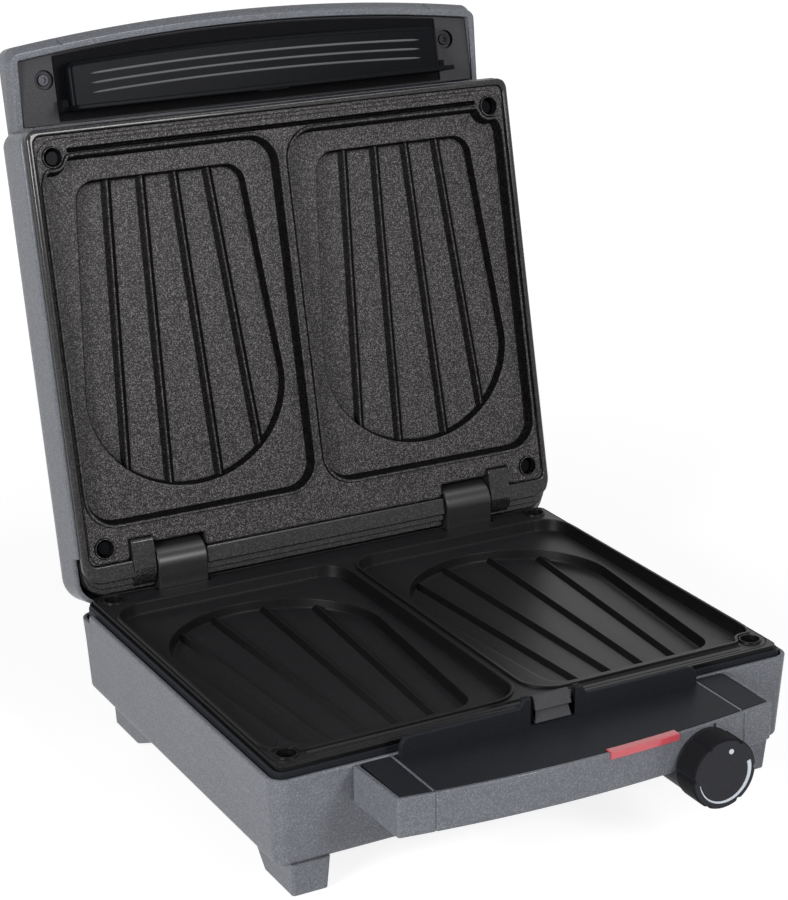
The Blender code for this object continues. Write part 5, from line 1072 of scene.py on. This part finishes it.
def noseOutline(side, front, groove=0.0):
    # plan of the lid handle, moved in at its sides and front, with a groove at both seams
    half = lid["noseHalf"] - side
    x = seamStations(half, 49, lid)
    y = noseFront(x, front) + groove * seamGroove(x, lid)
    points = np.vstack([np.stack([x, y], 1), [(half, lid["root"]), (-half, lid["root"])]])
    corner = lid["noseCorner"] - side
    return roundCorners(points, [corner] + [0] * (len(x) - 2) + [corner, 0, 0], 8)


def noseBody():
    # lower rim sloping to the front, a swelling wall, and a rounded upper edge; then the hollow that holds the panel
    top = lid["rimZ"] + lid["height"] - lid["topDrop"]
    full = noseOutline(0, 0, lid["seamDepth"])
    rimLoop = noseOutline(lid["lipSide"], lid["lipFront"], lid["seamDepth"])
    inner = noseOutline(lid["lipSide"] + lid["noseWall"], lid["lipFront"] + lid["noseWall"])

    def rimHeight(loop):
        # the lower rim rises towards the hinge
        return lid["noseRim"] + lid["slope"] * loop[:, 1]

    rings = []
    for t in np.linspace(0, math.pi / 2, 9)[::-1]:
        edge = lid["noseRound"] * (1 - math.cos(t))
        back = np.where(full[:, 1] < 0, edge, 0)
        shape = full * (1 - edge / lid["noseHalf"], 1) + np.stack([np.zeros(len(full)), back], 1)
        rings.append(lift(shape, top - lid["noseRound"] * (1 - math.sin(t))))
    for share in (0.0, 0.12, 0.3, 0.5, 0.7, 0.88, 0.97, 1.0):
        # from the widest line to the rim the wall draws in along a cosine
        swell = 0.5 - 0.5 * math.cos(math.pi * share)
        shape = full + (rimLoop - full) * swell
        rings.append(lift(shape, rimHeight(shape) + lid["noseRimEdge"] + lid["bulgeRise"] * (1 - share)))
    for inset, fall in rounding(lid["noseRimEdge"], 3)[::-1][1:]:
        shape = rimLoop + (inner - rimLoop) * inset / lid["noseWall"]
        rings.append(lift(shape, rimHeight(shape) + fall))
    for inset, fall in rounding(lid["noseInnerEdge"], 2):
        shape = inner + (rimLoop - inner) * inset / lid["noseWall"]
        rings.append(lift(shape, rimHeight(shape) + fall))
    rings += [lift(inner, height) for height in (lid["hollowLow"], top - lid["hollowTop"])]
    return skin(rings)


makePiece("lidShellSkin", [lidCrown(), noseBody()], finish["anthraciteFlake"], "lid", ["lid_shell"])
print("lid shell ready")

# Grip panel, screws and latch lever

grip = {"z": 0.0948, "thick": 0.003, "back": -0.0008, "screwX": 0.1204, "screwY": -0.0244, "bore": 0.0050,
        "boreDeep": 0.0022, "head": 0.0031, "headHigh": 0.0010, "lugX": 0.1111, "lugThick": 0.0035,
        "lugHalf": 0.0032, "lugLow": 0.0878, "lugY": -0.0098, "lugRound": 0.0006, "lugEdge": 0.0004,
        "gap": 0.0003, "wellHalf": 0.1149, "wellBorder": 0.0008, "wellDeep": 0.0009, "wellCorner": 0.0012,
        "wellInset": 0.0005, "wellUnder": 0.0003, "wellOver": 0.0006, "wellEdge": 0.0001, "lugLap": 0.001,
        "recessDeep": 0.0009, "lobes": 6, "lobeDepth": 0.16}


def gripPanel():
    # flat panel with a bore for each screw and the well for the lever
    gap = lid["noseWall"] + grip["gap"]
    outline = noseOutline(lid["lipSide"] + gap, lid["lipFront"] + gap)
    outline[-2:, 1] = grip["back"]
    edge = [(0.0004, 0), (0.0001, -0.0001), (0, -0.0004), (0, -grip["thick"])]
    bore = [(0.0003, 0), (0.0001, -0.0001), (0, -0.0003), (0, -grip["boreDeep"])]
    well = [(0, 0), (0.0003, -0.0002), (0.0003, -grip["wellDeep"])]
    stacks = []
    for sign in (-1, 1):
        place = (sign * grip["screwX"], grip["screwY"])
        stacks.append([(circle(place, grip["bore"] + wider, 40), fall) for wider, fall in bore])
    stacks.append(sunk(wellOutline(), well))
    return [fieldBody(sunk(outline, edge), stacks, grip["z"])]


def wellOutline():
    # the lever lies over a shallow well in the panel
    half, border, corner = grip["wellHalf"], grip["wellBorder"], grip["wellCorner"]
    x = np.linspace(-half, half, 41)
    y = noseFront(x, lid["lipFront"] + lid["noseWall"] + grip["gap"] + border)
    points = np.vstack([np.stack([x, y], 1), [(half, grip["back"] - border), (-half, grip["back"] - border)]])
    return roundCorners(points, [corner] + [0] * (len(x) - 2) + [corner] * 3, 5)


def wellFloor():
    # thin plate at the bottom of the well; its near-black finish is painted shade
    outline, floor = shrink(wellOutline(), grip["wellInset"]), grip["z"] + grip["wellDeep"]
    return slab(outline, floor - grip["wellUnder"], floor + grip["wellOver"], grip["wellEdge"], steps=2)


def gripLugs():
    # one ear beside each end of the lever carries its pivot
    parts = []
    for sign in (-1, 1):
        x = spanX(sign, grip["lugX"], grip["lugX"] + grip["lugThick"])
        y = (grip["lugY"] - grip["lugHalf"], grip["lugY"] + grip["lugHalf"])
        parts.append(slab(rectangle(x, y, grip["lugRound"]), grip["lugLow"], grip["z"] + grip["lugLap"],
                          grip["lugEdge"]))
    return parts


def screwHead(place, height, radius, high):
    # round head that faces down, with a six-lobed recess and a short shank behind it
    outer = [(0.9, high * 1.2), (1, high), (1, high * 0.35), (0.9, 0.02 * high), (0.55, 0)]
    recess = [(0.46, 0), (0.44, grip["recessDeep"])]
    angles = np.linspace(0, 2 * math.pi, 48, endpoint=False)
    ways = np.stack([np.cos(angles), np.sin(angles)], 1)
    star = (1 + grip["lobeDepth"] * np.cos(grip["lobes"] * angles))[:, None]
    loops = [lift(ways * (radius * reach) + place, height + rise) for reach, rise in outer]
    loops += [lift(ways * (radius * reach * star) + place, height + rise) for reach, rise in recess]
    return skin(loops)


panel = makePiece("gripPanelSatin", gripPanel(), finish["gripBlack"], "lid", ["grip_panel"])
# painted shade: the walls of the screw bores and of the well are drawn darker
markShadedWalls(panel, lidAxis)
# painted shade: the well floor and the lugs take a near-black finish, darker than the panel, for the shade under the
# lever
makePiece("gripWellShade", [wellFloor(), *gripLugs()], finish["wellShadeBlack"], "lid")
seat = grip["z"] + grip["boreDeep"] - grip["headHigh"]
for side, sign in sides:
    head = screwHead((sign * grip["screwX"], grip["screwY"]), seat, grip["head"], grip["headHigh"])
    makePiece(f"gripScrewHead_{side}", [head], finish["screwSteel"], "lid", [f"grip_screw_{side}"])

lever = {"half": 0.1105, "back": -0.0067, "reach": 0.0321, "bow": 0.0035, "z": 0.0848, "sheet": 0.0024,
         "skirt": 0.0037, "edge": 0.0030, "barHalf": 0.112, "barBack": -0.0068, "barThick": 0.0025,
         "barLow": 0.0714, "barHigh": 0.0872, "slotHalf": 0.0135, "slotLow": 0.0739, "slotHigh": 0.0824,
         "hookHalf": 0.009, "ribs": 3, "ribWidth": 0.0013, "ribProud": 0.0006, "ribPitch": 0.005,
         "ribFront": 0.007, "ribSide": 0.0120, "frontCorner": 0.0042, "rearCorner": 0.0032, "topEdge": 0.0004,
         "barCorner": 0.0008, "barEdge": 0.0006, "hookLow": 0.0003, "hookHigh": 0.0021, "hookCorner": 0.0004,
         "hookBack": (-0.001, 0.00045), "hookEdge": 0.0002}


def leverPad():
    # bowed pad with rounded corners, and a lip bar with a slot for the catch
    half, back = lever["half"], lever["back"]
    x = np.linspace(-half, half, 41)
    front = np.stack([x, bowLine(x, half, lever["reach"], lever["bow"])], 1)
    points = np.vstack([front, [(half, back), (-half, back)]])
    radii = [lever["frontCorner"]] + [0] * (len(x) - 2) + [lever["frontCorner"]] + [lever["rearCorner"]] * 2
    pad = slab(roundCorners(points, radii, 8), lever["z"], lever["z"] + lever["sheet"] + lever["skirt"],
               lever["topEdge"], lowEdge=lever["edge"], steps=6)
    return [pad, *lipBar()]


def leverRibs():
    # low round ridges whose height and width taper off at both ends by sqrt(1 - (x / half)^30)
    half, width = lever["half"] - lever["ribSide"], lever["ribWidth"] / 2
    x = np.linspace(-half, half, 61)[:, None]
    turn = np.linspace(0, 2 * math.pi, 12, endpoint=False)[None, :]
    taper = np.sqrt(np.clip(1 - (np.abs(x) / half) ** 30, 0.001, 1))
    front = bowLine(x, lever["half"], lever["reach"], lever["bow"]) + lever["ribFront"] + width
    across, rise = width * np.cos(turn) * taper, lever["ribProud"] * np.sin(turn) * taper
    rings = [np.stack(np.broadcast_arrays(x, front + number * lever["ribPitch"] + across, lever["z"] + rise), -1)
             for number in range(lever["ribs"])]
    return [skin(ring) for ring in rings]


def lipBar():
    # a bar pierced by the catch's slot, with a low hook behind its lower edge
    back, corner = lever["barBack"], lever["barCorner"]
    outline = rectangle((-lever["barHalf"], lever["barHalf"]), (lever["barLow"], lever["barHigh"]), corner)
    hole = rectangle((-lever["slotHalf"], lever["slotHalf"]), (lever["slotLow"], lever["slotHigh"]), corner)
    low = lever["barLow"] + lever["hookLow"]
    hook = rectangle((-lever["hookHalf"], lever["hookHalf"]), (low, low + lever["hookHigh"]), lever["hookCorner"])
    return [pierced(outline, [hole], back - lever["barThick"], back, lever["barEdge"], "y"),
            slab(hook, back + lever["hookBack"][0], back + lever["hookBack"][1], lever["hookEdge"], "y", steps=2)]


makePiece("latchLeverPad", leverPad(), finish["leverBlack"], "latch", ["latch_lever"])
# painted highlight: the ribs take a light grey that stands for the light on their crests
makePiece("latchLeverRibs", leverRibs(), finish["ribHighlightGrey"], "latch")
print("grip and lever ready")

# Remaining solids keep their shape and get a finish

kept = {
    "bottom_cover": "mouldedBlack", "cable_gland": "softRubber", "terminal_block": "fireclay",
    "thermostat": "fireclay", "indicator_lamp": "lampAmber", "thermostat_shaft": "brightSteel",
    "latch_spring": "brightSteel", "lower_reflector": "reflectorSheet", "upper_reflector": "reflectorSheet",
    "lower_heating_element": "darkSteel", "upper_heating_element": "darkSteel",
}
for name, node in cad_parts.items():
    if node.hide_render:
        continue
    chosen = kept.get(name)
    if chosen is None and name.startswith("foot_pad"):
        chosen = "softRubber"
    # painted shade: the plate screws deep in the boss holes take the near-black lever finish for the shade in the
    # holes
    if chosen is None and ("screw" in name or "pin" in name):
        chosen = "leverBlack" if "plate_screw" in name else "darkSteel"
    if chosen is not None:
        node.data.materials.clear()
        node.data.materials.append(finish[chosen])

# Studio

# the lens: a focal length of 2435 pixels, on a sensor of 36 mm that spans the picture's 900 rows
studio = {"floorHalf": 6.0, "floorColor": (0.85, 0.85, 0.85, 1), "floorRough": 0.9, "floorGloss": 0.1,
          "seenShade": (0.34, 0.34, 0.34, 1), "glowFrom": 0.3, "glowTo": 1.1, "glowLeast": 0.85,
          "skyColor": (0.95, 0.97, 1.0, 1), "skyLight": 0.12, "sensor": 36, "lens": 2435.07 * 36 / 900,
          "shift": (-0.00144, 0.00769), "eye": (-0.5647, -0.8885, 0.5691), "yaw": 28.554, "pitch": 19.611,
          "roll": -0.384,
          "lamps": (("keySoftbox", (-1.40, -0.70, 0.66), (0, 0, 0.12), 0.5, 18),
                    ("frontSoftbox", (0.50, -1.55, 0.86), (0, 0, 0.12), 0.45, 11.5),
                    ("topSoftbox", (0.69, -0.44, 1.57), (0, 0.1, 0.25), 0.3, 3))}


def seenDirectly(tree):
    # 1 for camera, mirror and glass rays, which see the white surroundings, and 0 for everything else
    path = addNode(tree, "ShaderNodeLightPath")
    first, second = (addNode(tree, "ShaderNodeMath", operation="MAXIMUM") for _ in range(2))
    connect(tree, (path, "Is Camera Ray", first, 0), (path, "Is Glossy Ray", first, 1), (first, 0, second, 0),
            (path, "Is Transmission Ray", second, 1))
    return second


def makeWorld():
    # a pale light on the object, plain white where it is seen
    world = bpy.data.worlds.new("studio")
    bpy.context.scene.world = world
    world.use_nodes = True
    tree = world.node_tree
    tree.nodes.clear()
    lit = addNode(tree, "ShaderNodeBackground", {"Color": studio["skyColor"], "Strength": studio["skyLight"]})
    shown = addNode(tree, "ShaderNodeBackground", {"Color": (1, 1, 1, 1), "Strength": 1.0})
    mix, out = addNode(tree, "ShaderNodeMixShader"), addNode(tree, "ShaderNodeOutputWorld")
    connect(tree, (seenDirectly(tree), 0, mix, "Fac"), (lit, 0, mix, 1), (shown, 0, mix, 2), (mix, 0, out, "Surface"))


def makeFloor():
    # a wide pale floor
    half = studio["floorHalf"]
    mesh = bpy.data.meshes.new("studioFloor")
    mesh.from_pydata([(-half, -half, 0), (half, -half, 0), (half, half, 0), (-half, half, 0)], [], [(0, 1, 2, 3)])
    floor = bpy.data.objects.new("studioFloor", mesh)
    bpy.context.scene.collection.objects.link(floor)
    material = bpy.data.materials.new("paleFloor")
    material.use_nodes = True
    tree = material.node_tree
    shader, out = tree.nodes["Principled BSDF"], tree.nodes["Material Output"]
    shader.inputs["Base Color"].default_value = studio["floorColor"]
    shader.inputs["Roughness"].default_value = studio["floorRough"]
    shader.inputs["Specular IOR Level"].default_value = studio["floorGloss"]
    # seen directly it is a paler mix: a glow that grows to white with distance from the middle, and a share of the
    # light that keeps the shadow
    place, far = addNode(tree, "ShaderNodeTexCoord"), addNode(tree, "ShaderNodeVectorMath", operation="LENGTH")
    fade = addNode(tree, "ShaderNodeMapRange", {"From Min": studio["glowFrom"], "From Max": studio["glowTo"],
                                                "To Min": studio["glowLeast"], "To Max": 1.0})
    glow = addNode(tree, "ShaderNodeEmission")
    shade = addNode(tree, "ShaderNodeBsdfDiffuse", {"Color": studio["seenShade"]})
    both, mix = addNode(tree, "ShaderNodeAddShader"), addNode(tree, "ShaderNodeMixShader")
    connect(tree,
            (place, "Object", far, 0), (far, "Value", fade, "Value"), (fade, "Result", glow, "Strength"),
            (shade, 0, both, 0), (glow, 0, both, 1), (seenDirectly(tree), 0, mix, "Fac"),
            (shader, 0, mix, 1), (both, 0, mix, 2), (mix, 0, out, "Surface"))
    mesh.materials.append(material)


def makeLamps():
    # square softboxes that face their targets
    for name, place, target, size, power in studio["lamps"]:
        lamp = bpy.data.lights.new(name, "AREA")
        lamp.shape = "SQUARE"
        lamp.size = size
        lamp.energy = power
        holder = bpy.data.objects.new(name, lamp)
        holder.location = place
        aim = Vector(target) - Vector(place)
        holder.rotation_euler = aim.to_track_quat("-Z", "Y").to_euler()
        bpy.context.scene.collection.objects.link(holder)


def makeCamera():
    # right, forward and down from yaw and pitch, then turned by the roll
    yaw, pitch, roll = (math.radians(studio[key]) for key in ("yaw", "pitch", "roll"))
    right = np.array([math.cos(yaw), -math.sin(yaw), 0])
    forward = np.array([math.sin(yaw) * math.cos(pitch), math.cos(yaw) * math.cos(pitch), -math.sin(pitch)])
    down = -np.cross(right, forward)
    across = math.cos(roll) * right - math.sin(roll) * down
    below = math.sin(roll) * right + math.cos(roll) * down
    lens = bpy.data.cameras.new("studioCamera")
    lens.lens = studio["lens"]
    lens.sensor_width = studio["sensor"]
    lens.shift_x, lens.shift_y = studio["shift"]
    lens.clip_start, lens.clip_end = 0.05, 50
    camera = bpy.data.objects.new("studioCamera", lens)
    eye = np.array(studio["eye"]) + (0, shiftY, 0)
    basis = np.column_stack([across, -below, -forward])
    matrix = np.eye(4)
    matrix[:3, :3], matrix[:3, 3] = basis, eye
    camera.matrix_world = Matrix(matrix.tolist())
    bpy.context.scene.collection.objects.link(camera)
    bpy.context.scene.camera = camera


makeWorld()
makeFloor()
makeLamps()
makeCamera()
bpy.context.scene.view_settings.view_transform = "Standard"
print("studio ready")

bpy.context.view_layer.update()
